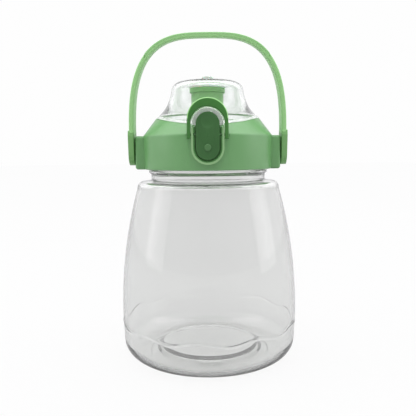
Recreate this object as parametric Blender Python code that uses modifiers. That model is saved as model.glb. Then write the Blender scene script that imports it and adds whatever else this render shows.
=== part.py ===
"""Kids water bottle: clear bottle, green screw lid, clear dome cover, push button, lock loop and handle.

Frame: +Z up, -Y is the front with the button, origin at the centre of the base. Lengths in metres.
"""

from math import acos, cos, exp, pi, radians, sin, sqrt

import bmesh
import bpy
from mathutils import Matrix, Vector

MM = 0.001
GAP = 0.3 * MM
ROUND_STEPS = 48

# Bottle
BODY_RADIUS = 57.3 * MM
BELLY_HEIGHT = 31.0 * MM
BARREL_ARC = 290.0 * MM
BODY_WALL = 2.2 * MM
BASE_FILLET = 12.7 * MM
BASE_RING_RADIUS = 44.0 * MM
BASE_THICKNESS = 2.8 * MM
PUNT_RADIUS = 39.5 * MM
PUNT_RISE = 5.5 * MM
BARREL_TOP = 108.5 * MM
NECK_RADIUS = 35.6 * MM
NECK_BORE = 33.4 * MM
NECK_TOP = 139.6 * MM
NECK_RING_RADIUS = 38.6 * MM
NECK_RING_HEIGHT = 121.4 * MM

# Screw thread
THREAD_PITCH = 5.0 * MM
THREAD_DEPTH = 1.3 * MM
THREAD_WIDTH = 1.7 * MM
THREAD_TURNS = 1.4
NECK_THREAD_START = 127.5 * MM
THREAD_STEPS = 40

# Lid shell
SKIRT_BOTTOM = 122.6 * MM
SKIRT_RADIUS_LOW = 41.2 * MM
SKIRT_RADIUS_HIGH = 41.9 * MM
SHOULDER_HEIGHT = 142.6 * MM
CONE_START = 144.6 * MM
CONE_START_RADIUS = 41.3 * MM
CONE_END = 155.5 * MM
CONE_END_RADIUS = 33.0 * MM
SHELL_WALL = 2.2 * MM
SKIRT_BORE = 39.6 * MM
SHELL_TOP = 164.0 * MM

# Parting surface between the shell and the dome: level at the sides and back, dipping to the latch
PARTING_HEIGHT = 155.2 * MM
PARTING_DIP = 5.6 * MM
PARTING_FRONT = 37.4 * MM
PARTING_POWER = 1.75

# Dome
DOME_WAIST_RADIUS = 21.8 * MM
DOME_FLARE_LENGTH = 8.5 * MM
DOME_CORNER_HEIGHT = 172.2 * MM
DOME_TOP = 178.5 * MM
DOME_FLAT_RADIUS = 16.5 * MM
DOME_WALL = 2.3 * MM

# Liner, spout and seals
LINER_RADIUS = 39.2 * MM
LINER_BORE = 37.5 * MM
LINER_BOTTOM = 123.6 * MM
DECK_BOTTOM = 141.5 * MM
DECK_TOP = 143.7 * MM
SPIGOT_RADIUS = 8.1 * MM
SPIGOT_BORE = 6.4 * MM
SPIGOT_TOP = 169.6 * MM
SPOUT_RADIUS = 10.45 * MM
SPOUT_FLANGE_RADIUS = 11.45 * MM
SPOUT_FLANGE_BOTTOM = 171.2 * MM
SPOUT_TOP = 174.4 * MM
SPOUT_HOLE = 6.0 * MM
SPOUT_FOOT_RADIUS = 14.0 * MM
VENT_OFFSET = 22.0 * MM

# Rear hinge
HINGE_Y = 34.3 * MM
HINGE_Z = 162.4 * MM
KNUCKLE_RADIUS = 2.7 * MM
HINGE_PIN_RADIUS = 1.2 * MM
HINGE_PIN_HALF = 14.8 * MM
DOME_KNUCKLE_INNER = 4.0 * MM
DOME_KNUCKLE_OUTER = 9.5 * MM
EAR_INNER = 10.0 * MM
EAR_OUTER = 13.5 * MM

# Front latch
BEZEL_HALF_WIDTH = 9.55 * MM
BEZEL_BOTTOM = 126.1 * MM
BEZEL_FRONT = -44.3 * MM
POCKET_HALF_WIDTH = 7.25 * MM
BUTTON_HALF_WIDTH = 6.85 * MM
BUTTON_BOTTOM = 128.9 * MM
BUTTON_TOP = 156.4 * MM
BUTTON_BACK = -41.6 * MM
BUTTON_FRONT = -44.8 * MM
BUMP_HEIGHT = 136.0 * MM
LATCH_PIN_Y = -43.1 * MM
LATCH_PIN_Z = 143.4 * MM
LATCH_PIN_RADIUS = 0.8 * MM
TAB_RADIUS = 9.3 * MM
TAB_CENTRE = 149.9 * MM
TAB_FRONT = -40.3 * MM
LOOP_HALF_WIDTH = 11.85 * MM
LOOP_WINDOW = 9.85 * MM
LOOP_OUTER_CENTRE = 152.65 * MM
LOOP_INNER_CENTRE = 149.5 * MM
LOOP_BOTTOM = 140.9 * MM
LOOP_BACK = -41.9 * MM
LOOP_FRONT = -44.9 * MM

# Handle: angles from upright, lengths along the leaning bail from its pivot
PIVOT_HEIGHT = 133.3 * MM
HANDLE_LEAN = radians(8.0)
HANDLE_HALF_SPAN = 50.3 * MM
HANDLE_STRAIGHT = 2.0 * MM
HANDLE_ARCH = 72.7 * MM
HANDLE_SQUARENESS = 3.1
HANDLE_THICKNESS = 3.0 * MM
HANDLE_HALF_WIDTH = 7.25 * MM
PADDLE_RADIUS = 8.1 * MM
PADDLE_OUTER = 50.9 * MM
GRIP_THICKNESS = 1.0 * MM
GRIP_HALF_SPAN = 38.5 * MM
LUG_OUTER = 46.6 * MM
LUG_HALF_WIDTH = 8.3 * MM
LUG_TOP = 144.0 * MM
HANDLE_PIN_RADIUS = 2.4 * MM


def clear_scene():
    for obj in list(bpy.data.objects):
        bpy.data.objects.remove(obj, do_unlink=True)


def make_collection(name):
    made = bpy.data.collections.new(name)
    bpy.context.scene.collection.children.link(made)
    return made


def make_material(name, colour, roughness, metallic=0.0, transmission=0.0):
    made = bpy.data.materials.new(name)
    made.use_nodes = True
    shader = made.node_tree.nodes["Principled BSDF"]
    shader.inputs["Base Color"].default_value = (*colour, 1.0)
    shader.inputs["Roughness"].default_value = roughness
    shader.inputs["Metallic"].default_value = metallic
    shader.inputs["Transmission Weight"].default_value = transmission
    made.diffuse_color = (*colour, 1.0)
    return made


clear_scene()
PARTS = make_collection("kids_water_bottle")
CUTTERS = make_collection("cutters")
CLEAR = make_material("clear_plastic", (0.93, 0.95, 0.95), 0.05, transmission=1.0)
GREEN = make_material("green_plastic", (0.27, 0.50, 0.25), 0.35)
DARK_GREEN = make_material("dark_green_plastic", (0.09, 0.24, 0.10), 0.35)
SILICONE = make_material("silicone", (0.85, 0.88, 0.85), 0.5)
STEEL = make_material("steel", (0.60, 0.61, 0.63), 0.3, metallic=1.0)


def add_mesh(name, mesh, material, cutter=False):
    obj = bpy.data.objects.new(name, mesh)
    if cutter:
        CUTTERS.objects.link(obj)
        obj.hide_render = True
        obj.display_type = "WIRE"
    else:
        PARTS.objects.link(obj)
        obj.data.materials.append(material)
    return obj


def shade_round(obj, angle=40.0):
    obj.data.shade_smooth()
    obj.data.set_sharp_from_angle(angle=radians(angle))


def screw(obj, steps):
    modifier = obj.modifiers.new("turn", "SCREW")
    modifier.axis = "Z"
    modifier.angle = 2 * pi
    modifier.steps = steps
    modifier.render_steps = steps
    modifier.use_merge_vertices = True
    modifier.merge_threshold = 0.00001
    modifier.use_smooth_shade = True


def turned(name, profile, material, steps=ROUND_STEPS, ring=True, centre=(0, 0, 0), cutter=False):
    """A solid of revolution about a vertical axis. ring closes the profile's ends to each other."""
    mesh = bpy.data.meshes.new(name)
    points = [(r, 0.0, z) for r, z in profile]
    edges = [(i, i + 1) for i in range(len(points) - 1)]
    if ring:
        edges.append((len(points) - 1, 0))
    mesh.from_pydata(points, edges, [])
    obj = add_mesh(name, mesh, material, cutter)
    obj.location = centre
    screw(obj, steps)
    return obj


def box(name, low, high, material=None, cutter=False):
    build = bmesh.new()
    bmesh.ops.create_cube(build, size=1.0)
    size = Vector(high) - Vector(low)
    middle = (Vector(high) + Vector(low)) / 2
    bmesh.ops.scale(build, vec=size, verts=build.verts)
    bmesh.ops.translate(build, vec=middle, verts=build.verts)
    mesh = bpy.data.meshes.new(name)
    build.to_mesh(mesh)
    build.free()
    return add_mesh(name, mesh, material, cutter)


def rod(name, start, end, radius, material=None, cutter=False, sides=20):
    """A cylinder from one point to another."""
    start, end = Vector(start), Vector(end)
    build = bmesh.new()
    bmesh.ops.create_cone(
        build, cap_ends=True, segments=sides, radius1=radius, radius2=radius, depth=(end - start).length
    )
    turn = (end - start).to_track_quat("Z", "Y").to_matrix().to_4x4()
    bmesh.ops.transform(build, matrix=Matrix.Translation((start + end) / 2) @ turn, verts=build.verts)
    mesh = bpy.data.meshes.new(name)
    build.to_mesh(mesh)
    build.free()
    return add_mesh(name, mesh, material, cutter)


def slab(name, outline, back, front, material=None, cutter=False, bevel=0.0):
    """An outline of (x, z) points made solid from y = back to y = front, with front below back."""
    build = bmesh.new()
    verts = [build.verts.new((x, back, z)) for x, z in outline]
    face = build.faces.new(verts)
    made = bmesh.ops.extrude_face_region(build, geom=[face])
    moved = [v for v in made["geom"] if isinstance(v, bmesh.types.BMVert)]
    bmesh.ops.translate(build, vec=(0, front - back, 0), verts=moved)
    bmesh.ops.recalc_face_normals(build, faces=build.faces)
    mesh = bpy.data.meshes.new(name)
    build.to_mesh(mesh)
    build.free()
    obj = add_mesh(name, mesh, material, cutter)
    if bevel:
        edge = obj.modifiers.new("edge", "BEVEL")
        edge.width = bevel
        edge.segments = 2
        edge.limit_method = "ANGLE"
        edge.angle_limit = radians(50)
    return obj


def boolean(obj, other, operation="DIFFERENCE"):
    modifier = obj.modifiers.new(operation.lower(), "BOOLEAN")
    modifier.operation = operation
    modifier.object = other
    modifier.solver = "EXACT"


def wire(name, points, radius, material):
    """A round wire along a list of points, as a mesh-like curve with filled caps."""
    curve = bpy.data.curves.new(name, "CURVE")
    curve.dimensions = "3D"
    curve.bevel_depth = radius
    curve.bevel_resolution = 1
    curve.use_fill_caps = True
    spline = curve.splines.new("POLY")
    spline.points.add(len(points) - 1)
    for place, point in zip(spline.points, points):
        place.co = (*point, 1.0)
    obj = bpy.data.objects.new(name, curve)
    PARTS.objects.link(obj)
    curve.materials.append(material)
    return obj


def arc(centre, radii, start, end, count):
    """Points of an elliptic arc, angles in degrees from +x towards +z, both ends included."""
    spread = [radians(start + (end - start) * i / (count - 1)) for i in range(count)]
    return [(centre[0] + radii[0] * cos(a), centre[1] + radii[1] * sin(a)) for a in spread]


def barrel_radius(z, inset=0.0):
    sag = BARREL_ARC - sqrt(BARREL_ARC**2 - (z - BELLY_HEIGHT) ** 2)
    return BODY_RADIUS - sag - inset


def lid_radius(z):
    """Outer contour shared by the shell's cone and the dome's wall."""
    if z < CONE_END:
        share = (z - CONE_START) / (CONE_END - CONE_START)
        return CONE_START_RADIUS + share * (CONE_END_RADIUS - CONE_START_RADIUS)
    flare = CONE_END_RADIUS - DOME_WAIST_RADIUS
    return DOME_WAIST_RADIUS + flare * exp(-(z - CONE_END) / DOME_FLARE_LENGTH)


def spread(low, high, count):
    return [low + (high - low) * i / (count - 1) for i in range(count)]


def thread_ridge(name, root, crest, start):
    """A helical ridge that rises anticlockwise; crest beyond root points outwards, inside it inwards."""
    out = 1 if crest > root else -1
    sink = 0.6 * MM
    steps = int(THREAD_TURNS * THREAD_STEPS)
    half = THREAD_WIDTH / 2
    section = [
        (root - out * sink, -half * 1.25),
        (crest, -half * 0.6),
        (crest, half * 0.6),
        (root - out * sink, half * 1.25),
    ]
    build = bmesh.new()
    rings = []
    for i in range(steps + 1):
        angle = 2 * pi * i / THREAD_STEPS
        rise = start + THREAD_PITCH * i / THREAD_STEPS
        fade = min(1.0, i / 4, (steps - i) / 4)
        ring = []
        for r, z in section:
            depth = r if r == section[0][0] else root + (r - root) * max(fade, 0.05)
            ring.append(build.verts.new((depth * cos(angle), depth * sin(angle), rise + z)))
        rings.append(ring)
    for one, two in zip(rings, rings[1:]):
        for k in range(4):
            build.faces.new((one[k], one[(k + 1) % 4], two[(k + 1) % 4], two[k]))
    build.faces.new(rings[0])
    build.faces.new(rings[-1])
    bmesh.ops.recalc_face_normals(build, faces=build.faces)
    mesh = bpy.data.meshes.new(name)
    build.to_mesh(mesh)
    build.free()
    return add_mesh(name, mesh, None, cutter=True)


def parting_line(y):
    """Height of the parting surface, which runs straight from side to side."""
    return PARTING_HEIGHT - PARTING_DIP * (max(0.0, -y) / PARTING_FRONT) ** PARTING_POWER


def parting_block(name, above):
    """All that lies on one side of the parting surface, moved past it by half the gap."""
    reach = 70 * MM
    shift = -GAP / 2 if above else GAP / 2
    end = 230 * MM if above else 60 * MM
    line = [(reach, PARTING_HEIGHT + shift)]
    line += [(-y, parting_line(-y) + shift) for y in spread(0, 48 * MM, 17)]
    line += [(-reach, line[-1][1]), (-reach, end), (reach, end)]
    quarter_turn = Matrix.Rotation(pi / 2, 4, "Z")
    obj = slab(name, line, reach, -reach, cutter=True)
    obj.data.transform(quarter_turn)
    return obj


def stadium(half_width, low, high, count=11):
    """A closed outline in x and z with a half circle at each end."""
    top = arc((0, high - half_width), (half_width, half_width), 0, 180, count)
    bottom = arc((0, low + half_width), (half_width, half_width), 180, 360, count)
    return top + bottom


def superellipse(a, b, base, count, limit):
    """Upper half of a squared ellipse from +x to -x, between the two places where |x| is the limit."""
    power = 2 / HANDLE_SQUARENESS
    first = acos(min(1.0, (limit / a) ** (1 / power)))
    points = []
    for angle in spread(first, pi - first, count):
        x = a * abs(cos(angle)) ** power * (1 if angle < pi / 2 else -1)
        points.append((x, base + b * sin(angle) ** power))
    return points


def make_bottle():
    punt = [(PUNT_RADIUS * (1 - t), PUNT_RISE * sin(t * pi / 2) ** 1.5) for t in (0, 0.15, 0.5, 1.0)]
    fillet = arc((BASE_RING_RADIUS, BASE_FILLET), (BASE_FILLET, BASE_FILLET), 0, -90, 5)
    side = [(barrel_radius(z), z) for z in spread(BARREL_TOP, BASE_FILLET + 4 * MM, 8)]
    neck = [
        (NECK_BORE, NECK_TOP),
        (NECK_RADIUS, NECK_TOP),
        (NECK_RADIUS, NECK_RING_HEIGHT + 1.0 * MM),
        (NECK_RING_RADIUS, NECK_RING_HEIGHT + 0.5 * MM),
        (NECK_RING_RADIUS, NECK_RING_HEIGHT - 0.6 * MM),
        (37.2 * MM, 119.4 * MM),
        (37.0 * MM, 117.6 * MM),
        (37.8 * MM, 116.1 * MM),
        (41.2 * MM, 115.2 * MM),
        (43.9 * MM, 114.1 * MM),
        (45.4 * MM, 112.2 * MM),
    ]
    inner_side = [
        (barrel_radius(z, BODY_WALL), z) for z in spread(BASE_FILLET + 4 * MM, BARREL_TOP - 1 * MM, 6)
    ]
    inner_fillet = arc(
        (BASE_RING_RADIUS, BASE_FILLET), (BASE_FILLET - BODY_WALL, BASE_FILLET - BASE_THICKNESS), -90, 0, 4
    )
    inner_base = [(r, z + BASE_THICKNESS) for r, z in reversed(punt)]
    inner_neck = [
        (43.2 * MM, 110.8 * MM),
        (40.6 * MM, 112.9 * MM),
        (35.4 * MM, 114.3 * MM),
        (NECK_BORE, 116.4 * MM),
    ]
    profile = neck + side + fillet + punt + inner_base + inner_fillet + inner_side + inner_neck
    body = turned("bottle_body", profile, CLEAR)
    ridge = thread_ridge("neck_thread", NECK_RADIUS, NECK_RADIUS + THREAD_DEPTH, NECK_THREAD_START)
    boolean(body, ridge, "UNION")
    return body


def make_seal_ring():
    profile = [
        (37.1 * MM, DECK_BOTTOM - GAP),
        (37.1 * MM, NECK_TOP + GAP),
        (32.6 * MM, NECK_TOP + GAP),
        (32.6 * MM, DECK_BOTTOM - GAP),
    ]
    return turned("lid_seal_ring", profile, SILICONE, 40)


def make_liner():
    profile = [
        (SPIGOT_RADIUS, SPIGOT_TOP),
        (SPIGOT_RADIUS, DECK_TOP),
        (LINER_RADIUS - 0.6 * MM, DECK_TOP),
        (LINER_RADIUS, DECK_TOP - 0.6 * MM),
        (LINER_RADIUS, LINER_BOTTOM),
        (LINER_BORE, LINER_BOTTOM),
        (LINER_BORE, DECK_BOTTOM),
        (SPIGOT_BORE, DECK_BOTTOM),
        (SPIGOT_BORE, SPIGOT_TOP),
    ]
    liner = turned("lid_liner", profile, GREEN)
    below = NECK_THREAD_START - THREAD_PITCH / 2
    ridge = thread_ridge("liner_thread", LINER_BORE, LINER_BORE - THREAD_DEPTH, below)
    boolean(liner, ridge, "UNION")
    vent = rod(
        "vent_hole",
        (0, VENT_OFFSET, DECK_BOTTOM - 2 * MM),
        (0, VENT_OFFSET, DECK_TOP + 2 * MM),
        1.7 * MM,
        cutter=True,
    )
    boolean(liner, vent)
    return liner


def make_vent_valve():
    profile = [
        (0, DECK_TOP + 1.5 * MM),
        (3.0 * MM, DECK_TOP + 1.2 * MM),
        (3.2 * MM, DECK_TOP + GAP),
        (1.3 * MM, DECK_TOP + GAP),
        (1.3 * MM, DECK_BOTTOM - GAP),
        (2.6 * MM, DECK_BOTTOM - GAP),
        (1.2 * MM, DECK_BOTTOM - 2.6 * MM),
        (0, DECK_BOTTOM - 2.8 * MM),
    ]
    return turned("vent_valve", profile, SILICONE, 20, ring=False, centre=(0, VENT_OFFSET, 0))


def make_spout():
    bore = SPIGOT_RADIUS + GAP
    ring_room = 2.4 * MM
    profile = [
        (SPOUT_HOLE, SPOUT_TOP),
        (SPOUT_FLANGE_RADIUS - 0.8 * MM, SPOUT_TOP),
        (SPOUT_FLANGE_RADIUS, SPOUT_TOP - 0.8 * MM),
        (SPOUT_FLANGE_RADIUS, SPOUT_FLANGE_BOTTOM + 0.3 * MM),
        (SPOUT_RADIUS, SPOUT_FLANGE_BOTTOM - 0.3 * MM),
        (SPOUT_RADIUS, DECK_TOP + 4 * MM),
        (SPOUT_FOOT_RADIUS, DECK_TOP + 2.6 * MM),
        (SPOUT_FOOT_RADIUS, DECK_TOP + GAP),
        (bore + 1.9 * MM, DECK_TOP + GAP),
        (bore + 1.9 * MM, DECK_TOP + ring_room),
        (bore, DECK_TOP + ring_room),
        (bore, SPIGOT_TOP + GAP),
        (SPOUT_HOLE, SPIGOT_TOP + GAP + 0.6 * MM),
    ]
    return turned("spout_mouthpiece", profile, GREEN, 40)


def make_o_ring():
    centre = (SPIGOT_RADIUS + 0.3 * MM + 0.75 * MM, DECK_TOP + 1.2 * MM)
    section = arc(centre, (0.75 * MM, 0.8 * MM), 90, -225, 8)
    return turned("spout_o_ring", section, SILICONE, 28)


def dome_outer():
    wall = [(lid_radius(z), z) for z in spread(DOME_CORNER_HEIGHT, 148.0 * MM, 9)]
    corner_radii = (lid_radius(DOME_CORNER_HEIGHT) - DOME_FLAT_RADIUS, DOME_TOP - DOME_CORNER_HEIGHT)
    corner = arc((DOME_FLAT_RADIUS, DOME_CORNER_HEIGHT), corner_radii, 90, 0, 5)
    return corner + wall[1:]


def make_dome():
    outer = dome_outer()
    inner = [(r - DOME_WALL, z) for r, z in reversed(outer) if z <= DOME_CORNER_HEIGHT + 1e-9]
    corner_radii = (
        lid_radius(DOME_CORNER_HEIGHT) - DOME_FLAT_RADIUS - DOME_WALL,
        DOME_TOP - DOME_WALL - DOME_CORNER_HEIGHT,
    )
    inner += arc((DOME_FLAT_RADIUS, DOME_CORNER_HEIGHT), corner_radii, 0, 90, 4)[1:]
    hole = 2.6 * MM
    profile = [(hole, DOME_TOP)] + outer + inner + [(hole, DOME_TOP - DOME_WALL)]
    dome = turned("dome_cover", profile, CLEAR)
    tab = slab("latch_tab", tab_outline(), -31.5 * MM, TAB_FRONT, cutter=True)
    boolean(dome, tab, "UNION")
    for side in (-1, 1):
        boolean(dome, dome_knuckle(side), "UNION")
    boolean(dome, parting_block("below_parting", above=False))
    hook_slot = box(
        "hook_slot",
        (-2.8 * MM, TAB_FRONT - 1 * MM, 140 * MM),
        (2.8 * MM, -37.6 * MM, 156.7 * MM),
        cutter=True,
    )
    boolean(dome, hook_slot)
    boolean(dome, hinge_bore("dome_hinge_bore"))
    set_origin(dome, (0, HINGE_Y, HINGE_Z))
    return dome


def tab_outline():
    top = arc((0, TAB_CENTRE), (TAB_RADIUS, TAB_RADIUS), 0, 180, 15)
    return top + [(-TAB_RADIUS, 145 * MM), (TAB_RADIUS, 145 * MM)]


def hinge_bore(name):
    return rod(
        name,
        (-20 * MM, HINGE_Y, HINGE_Z),
        (20 * MM, HINGE_Y, HINGE_Z),
        HINGE_PIN_RADIUS + 0.25 * MM,
        cutter=True,
        sides=16,
    )


def barrel_lug(name, inner, outer, foot, side):
    """A hinge barrel about the pin with a web to the foot's points in y and z: the hull of both."""
    rim = [(y, z) for y, z in arc((HINGE_Y, HINGE_Z), (KNUCKLE_RADIUS, KNUCKLE_RADIUS), 0, 345, 24)]
    build = bmesh.new()
    for x in (side * inner, side * outer):
        for y, z in rim + list(foot):
            build.verts.new((x, y, z))
    hull = bmesh.ops.convex_hull(build, input=build.verts)
    loose = [g for g in hull["geom_interior"] if isinstance(g, bmesh.types.BMVert)]
    bmesh.ops.delete(build, geom=loose, context="VERTS")
    bmesh.ops.recalc_face_normals(build, faces=build.faces)
    mesh = bpy.data.meshes.new(name)
    build.to_mesh(mesh)
    build.free()
    return add_mesh(name, mesh, None, cutter=True)


def dome_knuckle(side):
    foot = ((26.4 * MM, 160.0 * MM), (25.0 * MM, 165.6 * MM))
    name = "dome_knuckle_right" if side > 0 else "dome_knuckle_left"
    return barrel_lug(name, DOME_KNUCKLE_INNER, DOME_KNUCKLE_OUTER, foot, side)


def shell_ear(side):
    foot = ((36.6 * MM, 148.8 * MM), (33.6 * MM, 148.8 * MM), (32.1 * MM, 155.6 * MM))
    name = "ear_right" if side > 0 else "ear_left"
    return barrel_lug(name, EAR_INNER, EAR_OUTER, foot, side)


def make_shell():
    cone = [(lid_radius(z), z) for z in (SHELL_TOP, 160 * MM, 157.5 * MM, CONE_END)]
    inner_cone = [(r - SHELL_WALL, z) for r, z in reversed(cone)]
    profile = cone + [
        (CONE_START_RADIUS, CONE_START),
        (41.8 * MM, 143.8 * MM),
        (SKIRT_RADIUS_HIGH, SHOULDER_HEIGHT),
        (SKIRT_RADIUS_LOW, SKIRT_BOTTOM + 0.6 * MM),
        (SKIRT_RADIUS_LOW - 0.5 * MM, SKIRT_BOTTOM),
        (SKIRT_BORE, SKIRT_BOTTOM),
        (SKIRT_BORE, DECK_TOP + 0.4 * MM),
    ] + inner_cone
    shell = turned("lid_shell", profile, GREEN)
    bezel = slab(
        "bezel",
        stadium(BEZEL_HALF_WIDTH, BEZEL_BOTTOM, 170 * MM, 13),
        -40.2 * MM,
        BEZEL_FRONT,
        cutter=True,
    )
    boolean(shell, bezel, "UNION")
    bridge = box(
        "bezel_bridge",
        (-9.2 * MM, -41.3 * MM, 144.3 * MM),
        (9.2 * MM, -36.2 * MM, 151 * MM),
        cutter=True,
    )
    boolean(shell, bridge, "UNION")
    for side in (-1, 1):
        boolean(shell, lug(side), "UNION")
        boolean(shell, shell_ear(side), "UNION")
    boolean(shell, trim_block())
    pocket = slab(
        "button_pocket",
        stadium(POCKET_HALF_WIDTH, BUTTON_BOTTOM - 0.4 * MM, 175 * MM, 13),
        -39.4 * MM,
        -50 * MM,
        cutter=True,
    )
    boolean(shell, pocket)
    boolean(shell, hinge_bore("shell_hinge_bore"))
    axle = rod(
        "latch_pin_bore",
        (-15 * MM, LATCH_PIN_Y, LATCH_PIN_Z),
        (15 * MM, LATCH_PIN_Y, LATCH_PIN_Z),
        LATCH_PIN_RADIUS + 0.2 * MM,
        cutter=True,
        sides=16,
    )
    boolean(shell, axle)
    for side in (-1, 1):
        name = "loop_relief_right" if side > 0 else "loop_relief_left"
        relief = rod(
            name,
            (side * (BEZEL_HALF_WIDTH + 0.1 * MM), LATCH_PIN_Y, LATCH_PIN_Z),
            (side * (LOOP_HALF_WIDTH + 1.0 * MM), LATCH_PIN_Y, LATCH_PIN_Z),
            3.3 * MM,
            cutter=True,
        )
        boolean(shell, relief)
    for side in (-1, 1):
        name = "lug_bore_right" if side > 0 else "lug_bore_left"
        bore = rod(
            name,
            (side * 42.6 * MM, 0, PIVOT_HEIGHT),
            (side * 55 * MM, 0, PIVOT_HEIGHT),
            HANDLE_PIN_RADIUS + GAP,
            cutter=True,
        )
        boolean(shell, bore)
    return shell


def trim_block():
    """Cuts the shell and its bezel at the parting surface, but spares the hinge ears."""
    block = parting_block("above_parting", above=True)
    for side in (-1, 1):
        name = "ear_room_right" if side > 0 else "ear_room_left"
        low, high = sorted((side * (EAR_INNER - 0.01 * MM), side * (EAR_OUTER + 0.01 * MM)))
        room = box(name, (low, 31.0 * MM, 140 * MM), (high, 60 * MM, 170 * MM), cutter=True)
        boolean(block, room)
    return block


def lug(side):
    name = "lug_right" if side > 0 else "lug_left"
    low, high = sorted((side * 38.2 * MM, side * LUG_OUTER))
    middle = (SKIRT_BOTTOM + LUG_TOP) / 2
    block = box(name, (low, -LUG_HALF_WIDTH, SKIRT_BOTTOM), (high, LUG_HALF_WIDTH, LUG_TOP), cutter=True)
    edge = block.modifiers.new("edge", "BEVEL")
    edge.width = 2.0 * MM
    edge.segments = 3
    bore = rod(
        name + "_inside",
        (0, 0, middle - 20 * MM),
        (0, 0, middle + 20 * MM),
        SKIRT_BORE + 0.9 * MM,
        cutter=True,
        sides=ROUND_STEPS,
    )
    boolean(block, bore)
    return block


def set_origin(obj, place):
    """Moves an object's origin to a point while its shape stays where it is."""
    shift = Vector(place) - obj.location
    if obj.modifiers and obj.modifiers[0].type == "SCREW":
        guide = bpy.data.objects.new(obj.name + "_axis", None)
        PARTS.objects.link(guide)
        guide.location = place
        obj.parent = guide
        obj.location = obj.location - Vector(place)
        return
    obj.data.transform(Matrix.Translation(-shift))
    obj.location = place


def make_stopper():
    ceiling = DOME_TOP - DOME_WALL
    profile = [
        (0, DOME_TOP + 3.4 * MM),
        (2.6 * MM, DOME_TOP + 3.2 * MM),
        (4.0 * MM, DOME_TOP + 2.0 * MM),
        (4.1 * MM, DOME_TOP + GAP),
        (2.2 * MM, DOME_TOP + GAP),
        (2.2 * MM, ceiling - GAP),
        (12.4 * MM, ceiling - GAP),
        (12.8 * MM, ceiling - 0.7 * MM),
        (12.4 * MM, ceiling - 1.3 * MM),
        (5.6 * MM, ceiling - 1.5 * MM),
        (4.6 * MM, ceiling - 4.2 * MM),
        (0, ceiling - 4.6 * MM),
    ]
    stopper = turned("spout_stopper", profile, SILICONE, 36, ring=False)
    set_origin(stopper, (0, HINGE_Y, HINGE_Z))
    return stopper


def make_hinge_pin():
    pin = rod(
        "hinge_pin",
        (-HINGE_PIN_HALF, HINGE_Y, HINGE_Z),
        (HINGE_PIN_HALF, HINGE_Y, HINGE_Z),
        HINGE_PIN_RADIUS,
        STEEL,
        sides=16,
    )
    shade_round(pin)
    return pin


def make_hinge_spring():
    coil_radius = 1.95 * MM
    turns = 4.5
    per_turn = 10
    half_length = 3.0 * MM
    points = []
    steps = int(turns * per_turn)
    start = -pi / 2
    for i in range(steps + 1):
        angle = start + 2 * pi * i / per_turn
        x = -half_length + 2 * half_length * i / steps
        points.append((x, HINGE_Y + coil_radius * cos(angle), HINGE_Z + coil_radius * sin(angle)))
    lower_leg = (-half_length, HINGE_Y + 3.2 * MM, HINGE_Z - coil_radius - 1.4 * MM)
    upper_leg = (half_length, HINGE_Y - 3.4 * MM, HINGE_Z + coil_radius + 0.2 * MM)
    return wire("hinge_spring", [lower_leg] + points + [upper_leg], 0.4 * MM, STEEL)


def make_button():
    outline = stadium(BUTTON_HALF_WIDTH, BUTTON_BOTTOM, BUTTON_TOP, 13)
    button = slab("push_button", outline, BUTTON_BACK, BUTTON_FRONT, DARK_GREEN, bevel=0.5 * MM)
    bump = rod(
        "thumb_bump",
        (0, BUTTON_FRONT + 1.0 * MM, BUMP_HEIGHT),
        (0, BUTTON_FRONT - 0.6 * MM, BUMP_HEIGHT),
        2.0 * MM,
        cutter=True,
    )
    nose = box(
        "latch_nose",
        (-2.3 * MM, BUTTON_BACK - 0.4 * MM, 153.6 * MM),
        (2.3 * MM, -38.6 * MM, 155.4 * MM),
        cutter=True,
    )
    boolean(button, bump, "UNION")
    boolean(button, nose, "UNION")
    seat = rod(
        "spring_seat",
        (0, BUTTON_BACK + 1 * MM, BUMP_HEIGHT - 1.5 * MM),
        (0, BUTTON_BACK - 1.7 * MM, BUMP_HEIGHT - 1.5 * MM),
        2.3 * MM,
        cutter=True,
    )
    boolean(button, seat)
    bore = rod(
        "button_bore",
        (-10 * MM, LATCH_PIN_Y, LATCH_PIN_Z),
        (10 * MM, LATCH_PIN_Y, LATCH_PIN_Z),
        LATCH_PIN_RADIUS + 0.25 * MM,
        cutter=True,
        sides=16,
    )
    boolean(button, bore)
    set_origin(button, (0, LATCH_PIN_Y, LATCH_PIN_Z))
    return button


def make_button_spring():
    radius = 1.6 * MM
    start = BUTTON_BACK - 1.7 * MM + 0.75 * MM
    end = -LINER_RADIUS - 0.75 * MM
    turns = 3
    per_turn = 10
    points = []
    for i in range(turns * per_turn + 1):
        angle = 2 * pi * i / per_turn
        y = start + (end - start) * i / (turns * per_turn)
        points.append((radius * cos(angle), y, BUMP_HEIGHT - 1.5 * MM + radius * sin(angle)))
    return wire("button_spring", points, 0.25 * MM, STEEL)


def make_latch_pin():
    half = LOOP_HALF_WIDTH - 0.5 * MM
    pin = rod(
        "latch_pin",
        (-half, LATCH_PIN_Y, LATCH_PIN_Z),
        (half, LATCH_PIN_Y, LATCH_PIN_Z),
        LATCH_PIN_RADIUS,
        STEEL,
        sides=16,
    )
    shade_round(pin)
    return pin


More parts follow.
